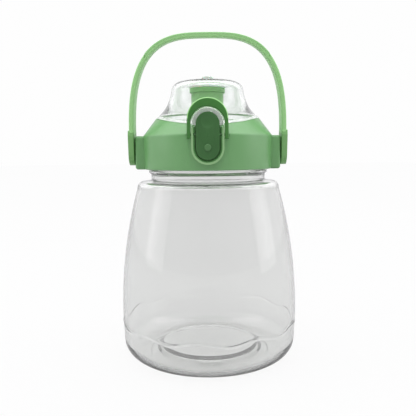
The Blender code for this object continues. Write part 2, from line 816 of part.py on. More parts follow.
def make_lock_loop():
    outer = arc((0, LOOP_OUTER_CENTRE), (LOOP_HALF_WIDTH, LOOP_HALF_WIDTH), 0, 180, 21)
    inner = arc((0, LOOP_INNER_CENTRE), (LOOP_WINDOW, LOOP_WINDOW), 180, 0, 17)
    flare = 0.4 * MM
    outline = (
        outer
        + [(-LOOP_HALF_WIDTH - flare, LOOP_BOTTOM), (-LOOP_WINDOW, LOOP_BOTTOM)]
        + inner
        + [(LOOP_WINDOW, LOOP_BOTTOM), (LOOP_HALF_WIDTH + flare, LOOP_BOTTOM)]
    )
    loop = slab("lock_loop", outline, LOOP_BACK, LOOP_FRONT, GREEN, bevel=0.45 * MM)
    bore = rod(
        "loop_bore",
        (-20 * MM, LATCH_PIN_Y, LATCH_PIN_Z),
        (20 * MM, LATCH_PIN_Y, LATCH_PIN_Z),
        LATCH_PIN_RADIUS + 0.25 * MM,
        cutter=True,
        sides=16,
    )
    boolean(loop, bore)
    set_origin(loop, (0, LATCH_PIN_Y, LATCH_PIN_Z))
    return loop


def band_outline(outer_inset, inner_inset, limit=HANDLE_HALF_SPAN, count=41):
    """The bail's band between two insets from its outer contour, in x and length along the bail."""
    sides = []
    for inset in (outer_inset, inner_inset):
        a = HANDLE_HALF_SPAN - inset
        sides.append(superellipse(a, HANDLE_ARCH - inset, HANDLE_STRAIGHT, count, min(limit, a)))
    return sides[0], sides[1][::-1]


def make_handle(frame):
    outer, inner = band_outline(0, HANDLE_THICKNESS)
    inner_x = HANDLE_HALF_SPAN - HANDLE_THICKNESS
    outline = outer + [(-HANDLE_HALF_SPAN, 0), (-inner_x, 0)] + inner + [(inner_x, 0), (HANDLE_HALF_SPAN, 0)]
    strap = slab(
        "handle_strap", outline, HANDLE_HALF_WIDTH, -HANDLE_HALF_WIDTH, GREEN, bevel=0.7 * MM
    )
    strap.parent = frame
    outer, inner = band_outline(-2 * MM, GRIP_THICKNESS + GAP, limit=GRIP_HALF_SPAN + GAP)
    room = slab("grip_room", outer + inner, 12 * MM, -12 * MM, cutter=True)
    room.parent = frame
    boolean(strap, room)
    for side in (-1, 1):
        name = "right" if side > 0 else "left"
        low, high = sorted((side * inner_x, side * PADDLE_OUTER))
        paddle = rod(
            "paddle_" + name, (low, 0, 0), (high, 0, 0), PADDLE_RADIUS, cutter=True, sides=28
        )
        paddle.parent = frame
        boolean(strap, paddle, "UNION")
        plate = box(
            "paddle_plate_" + name, (low, -7.9 * MM, 0), (high, 7.9 * MM, 13.5 * MM), cutter=True
        )
        plate.parent = frame
        edge = plate.modifiers.new("edge", "BEVEL")
        edge.width = 0.35 * MM
        edge.segments = 1
        boolean(strap, plate, "UNION")
        bore = rod(
            "paddle_bore_" + name,
            (side * 40 * MM, 0, 0),
            (side * 60 * MM, 0, 0),
            HANDLE_PIN_RADIUS + GAP,
            cutter=True,
        )
        bore.parent = frame
        boolean(strap, bore)
        sink = rod(
            "head_room_" + name,
            (side * (PADDLE_OUTER - 1.1 * MM), 0, 0),
            (side * 60 * MM, 0, 0),
            4.2 * MM,
            cutter=True,
        )
        sink.parent = frame
        boolean(strap, sink)
    return strap


def make_grip(frame):
    outer, inner = band_outline(0, GRIP_THICKNESS, limit=GRIP_HALF_SPAN)
    grip = slab("handle_grip", outer + inner, HANDLE_HALF_WIDTH, -HANDLE_HALF_WIDTH, GREEN, bevel=0.35 * MM)
    grip.parent = frame
    return grip


def make_handle_pin(side):
    name = "handle_pin_right" if side > 0 else "handle_pin_left"
    shaft_end = side * (PADDLE_OUTER - 0.5 * MM)
    pin = rod(name, (side * 42.9 * MM, 0, PIVOT_HEIGHT), (shaft_end, 0, PIVOT_HEIGHT), HANDLE_PIN_RADIUS, STEEL)
    head = rod(
        name + "_head",
        (side * (PADDLE_OUTER - 0.8 * MM), 0, PIVOT_HEIGHT),
        (side * (PADDLE_OUTER - 0.1 * MM), 0, PIVOT_HEIGHT),
        3.8 * MM,
        cutter=True,
    )
    boolean(pin, head, "UNION")
    shade_round(pin)
    return pin


def main():
    make_bottle()
    make_seal_ring()
    make_shell()
    make_liner()
    make_spout()
    make_o_ring()
    make_vent_valve()
    make_dome()
    make_stopper()
    make_hinge_pin()
    make_hinge_spring()
    make_button()
    make_button_spring()
    make_latch_pin()
    make_lock_loop()
    handle_frame = bpy.data.objects.new("handle_axis", None)
    PARTS.objects.link(handle_frame)
    handle_frame.location = (0, 0, PIVOT_HEIGHT)
    handle_frame.rotation_euler = (HANDLE_LEAN, 0, 0)
    make_handle(handle_frame)
    make_grip(handle_frame)
    for side in (-1, 1):
        make_handle_pin(side)


main()
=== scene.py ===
"""Looks for the kids water bottle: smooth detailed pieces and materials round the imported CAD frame.

Frame: +Z up, -Y is the front with the button, origin at the centre of the base. Lengths in metres.
"""

from math import acos, ceil, cos, exp, pi, radians, sin, sqrt, tan

import bmesh
import bpy
from mathutils import Matrix, Vector


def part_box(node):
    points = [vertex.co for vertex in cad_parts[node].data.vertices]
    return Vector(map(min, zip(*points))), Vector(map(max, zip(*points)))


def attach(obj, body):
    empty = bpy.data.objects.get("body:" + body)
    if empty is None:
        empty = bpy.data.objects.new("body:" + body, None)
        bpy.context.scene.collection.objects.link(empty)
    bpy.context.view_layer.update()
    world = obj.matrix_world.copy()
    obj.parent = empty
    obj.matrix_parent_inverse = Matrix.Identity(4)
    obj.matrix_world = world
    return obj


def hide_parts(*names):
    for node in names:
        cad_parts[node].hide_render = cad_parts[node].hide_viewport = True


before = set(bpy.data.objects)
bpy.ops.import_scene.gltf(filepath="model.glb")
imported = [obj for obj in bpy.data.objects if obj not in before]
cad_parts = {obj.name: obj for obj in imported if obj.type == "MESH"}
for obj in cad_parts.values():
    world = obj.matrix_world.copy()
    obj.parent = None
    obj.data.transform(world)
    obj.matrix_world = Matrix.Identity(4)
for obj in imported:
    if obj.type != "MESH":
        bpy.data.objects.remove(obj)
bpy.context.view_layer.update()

MM = 0.001
GAP = 0.3 * MM
ROUND_STEPS = 192

# Camera and light
CAMERA_PLACE = (-0.2 * MM, -349.7 * MM, 133.5 * MM)
CAMERA_DIP = radians(6.03)
CAMERA_ROLL = radians(-0.5)
CAMERA_LENS = 45.87
FLOOR_RADIUS = 6.0
ROOM_PLACES = (0.0, 0.30, 0.47, 0.60, 1.0)
ROOM_LEVELS = (0.34, 0.48, 1.16, 0.86, 0.76)
ROOM_LIFT = 2.3
ROOM_SEEN = (0.99, 0.99, 0.99)
FLOOR_SHADE = 0.42
FLOOR_GLOW = 1.04
FLOOR_GLOW_SHARE = 0.85
LAMP_TARGET = (0, 0, 0.1)
LAMPS = (
    ("top_box", (0, -0.5, 1.5), (1.0, 1.0), 6.0),
    ("left_box", (-1.0, -0.25, 0.45), (0.6, 0.9), 0.8),
    ("right_box", (1.0, -0.1, 0.40), (0.6, 0.9), 0.8),
)

# Bottle
BODY_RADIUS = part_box("bottle_body")[1].x
BOTTLE_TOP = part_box("bottle_body")[1].z
BELLY_HEIGHT = 31.0 * MM
BARREL_ARC = 290.0 * MM
BODY_WALL = 1.9 * MM
BASE_FILLET = 12.7 * MM
BASE_RING_RADIUS = 44.0 * MM
BARREL_TOP = 110.0 * MM
NECK_RADIUS = 35.6 * MM
NECK_BORE = 34.5 * MM
NECK_RING_RADIUS = 38.6 * MM
NECK_RING_TOP = 121.9 * MM
WAVE_HEIGHT = 23.2 * MM
WAVE_RISE = 1.3 * MM
WAVE_COUNT = 10
WAVE_TURN = radians(-90.0 - 6.5)
WAVE_RIDGE = 0.32 * MM
WAVE_RIDGE_WIDTH = 0.75 * MM

# Screw thread
THREAD_PITCH = 5.0 * MM
THREAD_DEPTH = 1.3 * MM
THREAD_TURNS = 1.4
THREAD_FADE = 12
THREAD_HALF_WIDTH = 0.85 * MM
NECK_THREAD_START = 127.5 * MM

# Lid
SKIRT_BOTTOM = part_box("lid_shell")[0].z
SKIRT_RADIUS = 41.2 * MM
SKIRT_BORE = 39.6 * MM
SHOULDER_RADIUS = 42.0 * MM
SHOULDER_HEIGHT = 143.75 * MM
CONE_START = 144.6 * MM
CONE_START_RADIUS = 41.3 * MM
CONE_END = 155.5 * MM
CONE_END_RADIUS = 33.0 * MM
SHELL_WALL = 2.2 * MM
SHELL_TOP = 164.0 * MM
PARTING_HEIGHT = 155.2 * MM
PARTING_DIP = 5.6 * MM
PARTING_FRONT = 37.4 * MM
PARTING_POWER = 1.75
LUG_INNER = 38.4 * MM
LUG_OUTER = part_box("lid_shell")[1].x
LUG_HALF_WIDTH = 8.3 * MM
LUG_TOP = 144.0 * MM

# Dome
DOME_WAIST_RADIUS = 21.8 * MM
DOME_FLARE_LENGTH = 8.5 * MM
DOME_CORNER_HEIGHT = 172.2 * MM
DOME_TOP = 178.5 * MM
DOME_FLAT_RADIUS = 16.5 * MM
DOME_WALL = 2.3 * MM
DOME_HOLE = 2.6 * MM

# Liner, spout and seals
LINER_RADIUS = 39.2 * MM
LINER_BORE = 37.5 * MM
LINER_BOTTOM = 123.6 * MM
DECK_BOTTOM = 141.5 * MM
DECK_TOP = 143.7 * MM
SPIGOT_RADIUS = 8.1 * MM
SPIGOT_BORE = 6.4 * MM
SPIGOT_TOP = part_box("lid_liner")[1].z
SPOUT_RADIUS = 10.45 * MM
SPOUT_FLANGE_RADIUS = 11.45 * MM
SPOUT_FLANGE_BOTTOM = 171.2 * MM
SPOUT_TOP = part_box("spout_mouthpiece")[1].z
SPOUT_HOLE = 6.0 * MM
SPOUT_FOOT_RADIUS = 14.0 * MM
VENT_OFFSET = 22.0 * MM
VENT_RADIUS = 1.7 * MM

# Rear hinge
HINGE_Y = 34.3 * MM
HINGE_Z = 162.4 * MM
HINGE_AXIS = (HINGE_Y, HINGE_Z)
KNUCKLE_RADIUS = 2.7 * MM
HINGE_PIN_RADIUS = 1.2 * MM
DOME_KNUCKLE_INNER = 4.0 * MM
DOME_KNUCKLE_OUTER = 9.5 * MM
EAR_INNER = 10.0 * MM
EAR_OUTER = 13.5 * MM
EAR_FOOT = ((36.6 * MM, 148.8 * MM), (33.6 * MM, 148.8 * MM), (32.1 * MM, 155.6 * MM))
DOME_KNUCKLE_FOOT = ((26.4 * MM, 160.0 * MM), (25.0 * MM, 165.6 * MM))

# Front latch
BEZEL_HALF_WIDTH = 9.55 * MM
BEZEL_BOTTOM = 126.1 * MM
BEZEL_TOP = 170.0 * MM
BEZEL_BACK = -40.2 * MM
BEZEL_FRONT = -44.3 * MM
BEZEL_EDGE = 0.35 * MM
POCKET_HALF_WIDTH = 7.25 * MM
POCKET_TOP = 175.0 * MM
POCKET_BACK = -39.4 * MM
BUTTON_HALF_WIDTH = 6.85 * MM
BUTTON_BOTTOM = 128.9 * MM
POCKET_BOTTOM = BUTTON_BOTTOM - 0.4 * MM
BUTTON_TOP = 156.4 * MM
BUTTON_BACK = -41.6 * MM
BUTTON_FRONT = -44.8 * MM
BUMP_RADIUS = 2.0 * MM
BUMP_HEIGHT = 136.0 * MM
BUTTON_SPRING_HEIGHT = BUMP_HEIGHT - 1.5 * MM
LATCH_AXIS = (-43.1 * MM, 143.4 * MM)
LATCH_PIN_RADIUS = 0.8 * MM
PIN_PLAY = 0.25 * MM
TAB_RADIUS = 9.3 * MM
TAB_CENTRE = 149.9 * MM
TAB_FRONT = -40.3 * MM
TAB_BACK = -31.5 * MM
LOOP_HALF_WIDTH = 11.85 * MM
LOOP_WINDOW = 9.85 * MM
LOOP_OUTER_CENTRE = 152.65 * MM
LOOP_INNER_CENTRE = 149.5 * MM
LOOP_BOTTOM = 140.9 * MM
LOOP_BACK = -41.9 * MM
LOOP_FRONT = -44.9 * MM

# Handle: lengths along the leaning bail from its pivot
PIVOT_HEIGHT = 133.3 * MM
HANDLE_LEAN = radians(8.0)
HANDLE_HALF_SPAN = 50.3 * MM
HANDLE_STRAIGHT = 2.0 * MM
HANDLE_ARCH = 72.7 * MM
HANDLE_SQUARENESS = 3.1
HANDLE_THICKNESS = 3.0 * MM
HANDLE_HALF_WIDTH = 7.25 * MM
PADDLE_RADIUS = 8.1 * MM
PADDLE_OUTER = 50.9 * MM
GRIP_THICKNESS = 1.0 * MM
GRIP_HALF_SPAN = 38.5 * MM
HANDLE_PIN_RADIUS = 2.4 * MM
HANDLE_PIN_INNER = 42.9 * MM
HANDLE_PIN_HEAD = 3.8 * MM


# ---- Shapes -------------------------------------------------------------------------------------


def spread(low, high, count):
    return [low + (high - low) * i / (count - 1) for i in range(count)]


def rounded(corners, closed=False, step=radians(9)):
    """A path through (u, v, radius) corners, each turned along an arc of its radius."""
    points = []
    count = len(corners)
    for i, (u, v, radius) in enumerate(corners):
        here = Vector((u, v))
        if radius <= 0 or (not closed and i in (0, count - 1)):
            points.append((u, v))
            continue
        before = (Vector(corners[i - 1][:2]) - here).normalized()
        after = (Vector(corners[(i + 1) % count][:2]) - here).normalized()
        half = acos(max(-1.0, min(1.0, before.dot(after)))) / 2
        reach = radius / tan(half)
        centre = here + (before + after).normalized() * radius / sin(half)
        first = here + before * reach - centre
        last = here + after * reach - centre
        turn = first.angle_signed(last)
        steps = max(2, ceil(abs(turn) / step))
        for k in range(steps + 1):
            arm = first.copy()
            arm.rotate(Matrix.Rotation(-turn * k / steps, 2))
            points.append(tuple(centre + arm))
    return points


def arc(centre, radii, start, end, count):
    """Points of an elliptic arc, angles in degrees from +u towards +v, both ends included."""
    return [
        (centre[0] + radii[0] * cos(radians(a)), centre[1] + radii[1] * sin(radians(a)))
        for a in spread(start, end, count)
    ]


def new_object(name, build):
    """The object made from a bmesh, with its faces turned outwards."""
    bmesh.ops.recalc_face_normals(build, faces=build.faces)
    mesh = bpy.data.meshes.new(name)
    build.to_mesh(mesh)
    build.free()
    obj = bpy.data.objects.new(name, mesh)
    bpy.context.scene.collection.objects.link(obj)
    return obj


def revolve(name, profile, closed=True, steps=ROUND_STEPS, reliefs=(), place=None):
    """A turned solid from (r, z) points. Each relief adds its r offset for (r, z, angle)."""
    build = bmesh.new()
    rings = []
    for r, z in profile:
        if r < 1e-6:
            rings.append([build.verts.new((0, 0, z))])
            continue
        ring = []
        for k in range(steps):
            angle = 2 * pi * k / steps
            out = r + sum(relief(r, z, angle) for relief in reliefs)
            ring.append(build.verts.new((out * cos(angle), out * sin(angle), z)))
        rings.append(ring)
    pairs = list(zip(rings, rings[1:]))
    if closed:
        pairs.append((rings[-1], rings[0]))
    for one, two in pairs:
        if len(one) == len(two) == 1:
            continue
        for k in range(steps):
            ahead = (k + 1) % steps
            if len(one) == 1:
                build.faces.new((one[0], two[ahead], two[k]))
            elif len(two) == 1:
                build.faces.new((one[k], one[ahead], two[0]))
            else:
                build.faces.new((one[k], one[ahead], two[ahead], two[k]))
    if place:
        bmesh.ops.transform(build, matrix=place, verts=build.verts)
    return new_object(name, build)


def along(start, end):
    """The placing of a turned solid whose axis runs from one point to another."""
    start, end = Vector(start), Vector(end)
    return Matrix.Translation(start) @ (end - start).to_track_quat("Z", "Y").to_matrix().to_4x4()


def pin(name, start, end, radius, edge=0.3 * MM, steps=48):
    """A round pin with rounded ends."""
    length = (Vector(end) - Vector(start)).length
    profile = rounded([(0, 0, 0), (radius, 0, edge), (radius, length, edge), (0, length, 0)])
    return revolve(name, profile, closed=False, steps=steps, place=along(start, end))


def cross_pin(name, half, axis, radius, edge=0.3 * MM):
    """A round pin from side to side, its axis given by y and z."""
    return pin(name, (-half, *axis), (half, *axis), radius, edge)


def front_pin(name, start, end, height, radius, edge=0.3 * MM, steps=48):
    """A round pin in the middle plane that runs from front to back, between two places in y."""
    return pin(name, (0, start, height), (0, end, height), radius, edge, steps)


def block(name, low, high, edge=0.0):
    """A box with rounded edges."""
    build = bmesh.new()
    bmesh.ops.create_cube(build, size=1.0)
    low, high = Vector(low), Vector(high)
    bmesh.ops.scale(build, vec=high - low, verts=build.verts)
    bmesh.ops.translate(build, vec=(high + low) / 2, verts=build.verts)
    if edge:
        bmesh.ops.bevel(build, geom=build.edges[:], offset=edge, segments=6, profile=0.5, affect="EDGES")
    return new_object(name, build)


def plate(name, outline, back, front, edges=(0.0, 0.0), place=None):
    """A flat outline in x and z made solid along y, its back and front rims rounded by edges."""
    build = bmesh.new()
    face = build.faces.new([build.verts.new((x, back, z)) for x, z in outline])
    made = bmesh.ops.extrude_face_region(build, geom=[face])
    moved = [v for v in made["geom"] if isinstance(v, bmesh.types.BMVert)]
    bmesh.ops.translate(build, vec=(0, front - back, 0), verts=moved)
    for depth, width in zip((back, front), edges):
        if width:
            rim = [e for e in build.edges if all(abs(v.co.y - depth) < 1e-9 for v in e.verts)]
            bmesh.ops.bevel(
                build, geom=rim, offset=width, segments=5, profile=0.5, affect="EDGES", clamp_overlap=True
            )
    if place:
        bmesh.ops.transform(build, matrix=place, verts=build.verts)
    return new_object(name, build)


def skin(build, rings):
    """Closes equal rings of vertices into one solid."""
    count = len(rings[0])
    for one, two in zip(rings, rings[1:]):
        for k in range(count):
            build.faces.new((one[k], one[(k + 1) % count], two[(k + 1) % count], two[k]))
    build.faces.new(rings[0])
    build.faces.new(rings[-1])


def sweep(name, path, section, place):
    """A bar along (x, s) points, its section given as (outward offset, y) points."""
    build = bmesh.new()
    rings = []
    for i, (x, s) in enumerate(path):
        ahead = Vector(path[min(i + 1, len(path) - 1)]) - Vector(path[max(i - 1, 0)])
        out = Vector((ahead.y, -ahead.x)).normalized()
        rings.append([build.verts.new((x + out.x * u, y, s + out.y * u)) for u, y in section])
    skin(build, rings)
    bmesh.ops.transform(build, matrix=place, verts=build.verts)
    return new_object(name, build)


def coil(name, points, radius):
    """A round wire through points, as a mesh."""
    curve = bpy.data.curves.new(name, "CURVE")
    curve.dimensions = "3D"
    curve.bevel_depth = radius
    curve.bevel_resolution = 4
    curve.use_fill_caps = True
    spline = curve.splines.new("POLY")
    spline.points.add(len(points) - 1)
    for at, point in zip(spline.points, points):
        at.co = (*point, 1.0)
    guide = bpy.data.objects.new(name + "_guide", curve)
    bpy.context.scene.collection.objects.link(guide)
    graph = bpy.context.evaluated_depsgraph_get()
    build = bmesh.new()
    build.from_mesh(guide.evaluated_get(graph).to_mesh())
    bmesh.ops.remove_doubles(build, verts=build.verts, dist=1e-6)
    bpy.data.objects.remove(guide)
    return new_object(name, build)


def combine(obj, other, operation="DIFFERENCE"):
    """Cuts or joins other into obj for good, and removes other."""
    modifier = obj.modifiers.new(operation.lower(), "BOOLEAN")
    modifier.operation = operation
    modifier.solver = "MANIFOLD"
    modifier.object = other
    graph = bpy.context.evaluated_depsgraph_get()
    mesh = bpy.data.meshes.new_from_object(obj.evaluated_get(graph))
    obj.modifiers.clear()
    obj.data = mesh
    bpy.data.objects.remove(other)


def parting_line(y):
    """Height of the parting surface, which runs straight from side to side."""
    return PARTING_HEIGHT - PARTING_DIP * (max(0.0, -y) / PARTING_FRONT) ** PARTING_POWER


def parting_side(name, above):
    """All on one side of the surface between shell and dome, past it by half the gap."""
    reach = 70 * MM
    shift = -GAP / 2 if above else GAP / 2
    end = 230 * MM if above else 60 * MM
    line = [(reach, PARTING_HEIGHT + shift)]
    line += [(-y, parting_line(-y) + shift) for y in spread(0, 48 * MM, 49)]
    line += [(-reach, line[-1][1]), (-reach, end), (reach, end)]
    return plate(name, line, reach, -reach, place=Matrix.Rotation(pi / 2, 4, "Z"))


def stadium(half_width, low, high, count=33):
    """A closed outline in x and z with a half circle at each end."""
    top = arc((0, high - half_width), (half_width, half_width), 0, 180, count)
    return top + arc((0, low + half_width), (half_width, half_width), 180, 360, count)


def rounded_box(u_low, u_high, v_low, v_high, radius):
    """A closed outline of a rectangle with round corners."""
    corners = [(u_high, v_low), (u_high, v_high), (u_low, v_high), (u_low, v_low)]
    return rounded([(u, v, radius) for u, v in corners], closed=True, step=radians(15))


def barrel_lug(name, inner, outer, foot, side):
    """A hinge barrel about the pin with a web to the foot's points in y and z."""
    build = bmesh.new()
    rim = arc((HINGE_Y, HINGE_Z), (KNUCKLE_RADIUS, KNUCKLE_RADIUS), 0, 354, 60)
    for x in (side * inner, side * outer):
        for y, z in rim + list(foot):
            build.verts.new((x, y, z))
    hull = bmesh.ops.convex_hull(build, input=build.verts)
    loose = [g for g in hull["geom_interior"] if isinstance(g, bmesh.types.BMVert)]
    bmesh.ops.delete(build, geom=loose, context="VERTS")
    return new_object(name, build)


# ---- Materials ----------------------------------------------------------------------------------


def start_material(name):
    """A new material, its node tree and its main shader."""
    made = bpy.data.materials.new(name)
    made.use_nodes = True
    tree = made.node_tree
    return made, tree, tree.nodes["Principled BSDF"]


def noise(tree, scale, detail=2.0, stretch=(1, 1, 1)):
    """The output of a noise pattern in the piece's own space; scale counts patterns in a metre."""
    place = tree.nodes.new("ShaderNodeTexCoord")
    squeeze = tree.nodes.new("ShaderNodeMapping")
    squeeze.inputs["Scale"].default_value = stretch
    texture = tree.nodes.new("ShaderNodeTexNoise")
    texture.inputs["Scale"].default_value = scale
    texture.inputs["Detail"].default_value = detail
    tree.links.new(place.outputs["Object"], squeeze.inputs["Vector"])
    tree.links.new(squeeze.outputs["Vector"], texture.inputs["Vector"])
    return texture.outputs["Fac"]


def ranged(tree, source, low, high, start=0.3, end=0.7):
    """The source between start and end, spread over low to high."""
    made = tree.nodes.new("ShaderNodeMapRange")
    made.inputs["From Min"].default_value = start
    made.inputs["From Max"].default_value = end
    made.inputs["To Min"].default_value = low
    made.inputs["To Max"].default_value = high
    tree.links.new(source, made.inputs["Value"])
    return made.outputs["Result"]


def blended(tree, factor, one, two):
    """A colour between two: each is a colour or another node's output."""
    made = tree.nodes.new("ShaderNodeMix")
    made.data_type = "RGBA"
    tree.links.new(factor, made.inputs["Factor"])
    for place, colour in (("A", one), ("B", two)):
        socket = [s for s in made.inputs if s.name == place and s.type == "RGBA"][0]
        if isinstance(colour, tuple):
            socket.default_value = (*colour, 1.0)
        else:
            tree.links.new(colour, socket)
    return [s for s in made.outputs if s.type == "RGBA"][0]


def bumped(tree, shader, source, distance, strength):
    """Gives the shader a relief from the source, as deep as distance."""
    bump = tree.nodes.new("ShaderNodeBump")
    bump.inputs["Strength"].default_value = strength
    bump.inputs["Distance"].default_value = distance
    tree.links.new(source, bump.inputs["Height"])
    tree.links.new(bump.outputs["Normal"], shader.inputs["Normal"])


def moulded(name, shade, light, roughness, shine=0.5):
    """Opaque moulded plastic: a cloudy tone between two, uneven gloss and a fine grain."""
    made, tree, shader = start_material(name)
    cloud = ranged(tree, noise(tree, 45.0, 3.0), 0.0, 1.0)
    tree.links.new(blended(tree, cloud, shade, light), shader.inputs["Base Color"])
    gloss = ranged(tree, noise(tree, 260.0), roughness - 0.05, roughness + 0.05)
    tree.links.new(gloss, shader.inputs["Roughness"])
    bumped(tree, shader, noise(tree, 2600.0, 3.0), 0.004 * MM, 0.6)
    shader.inputs["IOR"].default_value = 1.49
    shader.inputs["Specular IOR Level"].default_value = shine
    return made


def let_light_through(tree, shader):
    """Lets lamps shine through a clear shader with almost no shadow, as through a thin clear wall."""
    path = tree.nodes.new("ShaderNodeLightPath")
    open_way = tree.nodes.new("ShaderNodeBsdfTransparent")
    open_way.inputs["Color"].default_value = (0.985, 0.99, 0.987, 1.0)
    mix = tree.nodes.new("ShaderNodeMixShader")
    tree.links.new(path.outputs["Is Shadow Ray"], mix.inputs["Fac"])
    tree.links.new(shader.outputs["BSDF"], mix.inputs[1])
    tree.links.new(open_way.outputs["BSDF"], mix.inputs[2])
    tree.links.new(mix.outputs["Shader"], tree.nodes["Material Output"].inputs["Surface"])


def clear(name, tint, roughness, ripple, clearness=1.0, bloom=0.0):
    """Clear moulded plastic: faint flow ripples, almost even gloss and a bloom of white sheen."""
    made, tree, shader = start_material(name)
    shader.inputs["Base Color"].default_value = (*tint, 1.0)
    shader.inputs["Transmission Weight"].default_value = clearness
    shader.inputs["IOR"].default_value = 1.5
    shader.inputs["Sheen Weight"].default_value = bloom
    shader.inputs["Sheen Roughness"].default_value = 0.35
    gloss = ranged(tree, noise(tree, 90.0, 3.0), roughness * 0.4, roughness * 1.6)
    tree.links.new(gloss, shader.inputs["Roughness"])
    bumped(tree, shader, noise(tree, 55.0, 1.0, (1, 1, 0.45)), ripple, 0.5)
    let_light_through(tree, shader)
    return made


def silicone(name, tint):
    """Milky rubber: half see-through, with a soft cloudy tone and a fine grain."""
    made, tree, shader = start_material(name)
    cloud = ranged(tree, noise(tree, 120.0, 3.0), 0.0, 1.0)
    pale = tuple(min(1.0, c * 1.06) for c in tint)
    tree.links.new(blended(tree, cloud, tint, pale), shader.inputs["Base Color"])
    tree.links.new(ranged(tree, noise(tree, 700.0), 0.32, 0.48), shader.inputs["Roughness"])
    bumped(tree, shader, noise(tree, 1800.0), 0.02 * MM, 0.5)
    shader.inputs["Transmission Weight"].default_value = 0.55
    shader.inputs["IOR"].default_value = 1.41
    shader.inputs["Subsurface Weight"].default_value = 0.3
    shader.inputs["Subsurface Scale"].default_value = 1.5 * MM
    let_light_through(tree, shader)
    return made


def steel(name):
    """Drawn steel with fine streaks."""
    made, tree, shader = start_material(name)
    streaks = noise(tree, 900.0, 3.0, (0.08, 1, 1))
    tree.links.new(ranged(tree, streaks, 0.22, 0.42), shader.inputs["Roughness"])
    cloud = ranged(tree, streaks, 0.0, 1.0)
    tone = blended(tree, cloud, (0.52, 0.53, 0.55), (0.68, 0.69, 0.71))
    tree.links.new(tone, shader.inputs["Base Color"])
    bumped(tree, shader, streaks, 0.01 * MM, 0.4)
    shader.inputs["Metallic"].default_value = 1.0
    return made


CLEAR_BODY = clear("clear_body", (0.985, 0.987, 0.980), 0.012, 0.02 * MM, 0.97, 0.12)
CLEAR_DOME = clear("clear_dome", (0.955, 0.97, 0.96), 0.012, 0.02 * MM, 0.99, 0.5)
# Painted highlight: a milky white clear plastic for the dome's parting rim and the ribbed front of its tab,
# standing for the white highlights on them.
DOME_HIGHLIGHT_CLEAR = clear("clear_painted_highlight", (0.97, 0.98, 0.97), 0.30, 0.02 * MM, 0.1)
LID_GREEN = moulded("lid_green", (0.130, 0.345, 0.112), (0.150, 0.380, 0.132), 0.36, 1.0)
LINER_GREEN = moulded("liner_green", (0.24, 0.50, 0.20), (0.27, 0.54, 0.23), 0.38)
SPOUT_GREEN = moulded("spout_green", (0.19, 0.53, 0.13), (0.22, 0.57, 0.16), 0.45)
BUMP_GREEN = moulded("bump_green", (0.070, 0.190, 0.062), (0.085, 0.215, 0.075), 0.36)
BUTTON_GREEN = moulded("button_green", (0.035, 0.130, 0.030), (0.045, 0.155, 0.040), 0.38)
LOOP_GREEN = moulded("loop_green", (0.040, 0.180, 0.028), (0.050, 0.205, 0.035), 0.34)
# Painted highlight: a lighter copy of the loop green for the top arch's outer rim, where light falls.
LOOP_HIGHLIGHT_GREEN = moulded("loop_painted_highlight", (0.30, 0.66, 0.22), (0.33, 0.69, 0.25), 0.36)
HANDLE_GREEN = moulded("handle_green", (0.36, 0.70, 0.28), (0.39, 0.73, 0.31), 0.42)
GRIP_GREEN = moulded("grip_green", (0.33, 0.66, 0.26), (0.36, 0.69, 0.29), 0.46)
# Painted highlight: a lighter copy of the lid green for the bezel's front rim, where light catches its
# rounded edge.
LID_HIGHLIGHT_GREEN = moulded("lid_painted_highlight", (0.27, 0.49, 0.22), (0.30, 0.52, 0.25), 0.34)
PIN_GREEN = moulded("pin_green", (0.16, 0.40, 0.13), (0.18, 0.43, 0.15), 0.40)
# Painted shade: a darker copy of the handle green for the paddles low on the strap, which sit in shade.
PADDLE_SHADE_GREEN = moulded("paddle_painted_shade", (0.20, 0.44, 0.15), (0.22, 0.47, 0.17), 0.40)
SILICONE = silicone("silicone", (0.84, 0.90, 0.85))
STEEL = steel("steel")


def finish_piece(obj, body, node, materials, sharp=34.0):
    """Gives a piece its materials and shading, and its place in the frame."""
    obj.data.materials.clear()
    for material in materials:
        obj.data.materials.append(material)
    obj.data.shade_smooth()
    obj.data.set_sharp_from_angle(angle=radians(sharp))
    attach(obj, body)
    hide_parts(node)
    return obj


# ---- Bottle -------------------------------------------------------------------------------------


def barrel_radius(z, inset=0.0):
    """Radius of the belly's long upright arc at a height, less the inset."""
    sag = BARREL_ARC - sqrt(BARREL_ARC**2 - (z - BELLY_HEIGHT) ** 2)
    return BODY_RADIUS - sag - inset


def wave_relief(r, z, angle):
    """The raised wavy line low on the belly, only on the outer skin."""
    if r < barrel_radius(z) - 0.1 * MM or z > 2 * WAVE_HEIGHT:
        return 0.0
    line = WAVE_HEIGHT + WAVE_RISE * cos(WAVE_COUNT * (angle - WAVE_TURN))
    off = (z - line) / WAVE_RIDGE_WIDTH
    return WAVE_RIDGE * (exp(-off * off) - 0.3 / (1 + exp(3 * off)))


def thread_relief(root, crest, start):
    """A screw ridge on the wall at radius root, rising anticlockwise."""

    def relief(r, z, angle):
        if abs(r - root) > 0.01 * MM:
            return 0.0
        rise = 0.0
        for turn in (0, 1):
            done = angle / (2 * pi) + turn
            if done > THREAD_TURNS:
                continue
            fade = min(1.0, done * THREAD_FADE, (THREAD_TURNS - done) * THREAD_FADE)
            off = abs(z - start - THREAD_PITCH * done) / THREAD_HALF_WIDTH
            rise = max(rise, fade * max(0.0, min(1.0, 1.9 - 1.5 * off)))
        return (crest - root) * rise

    return relief


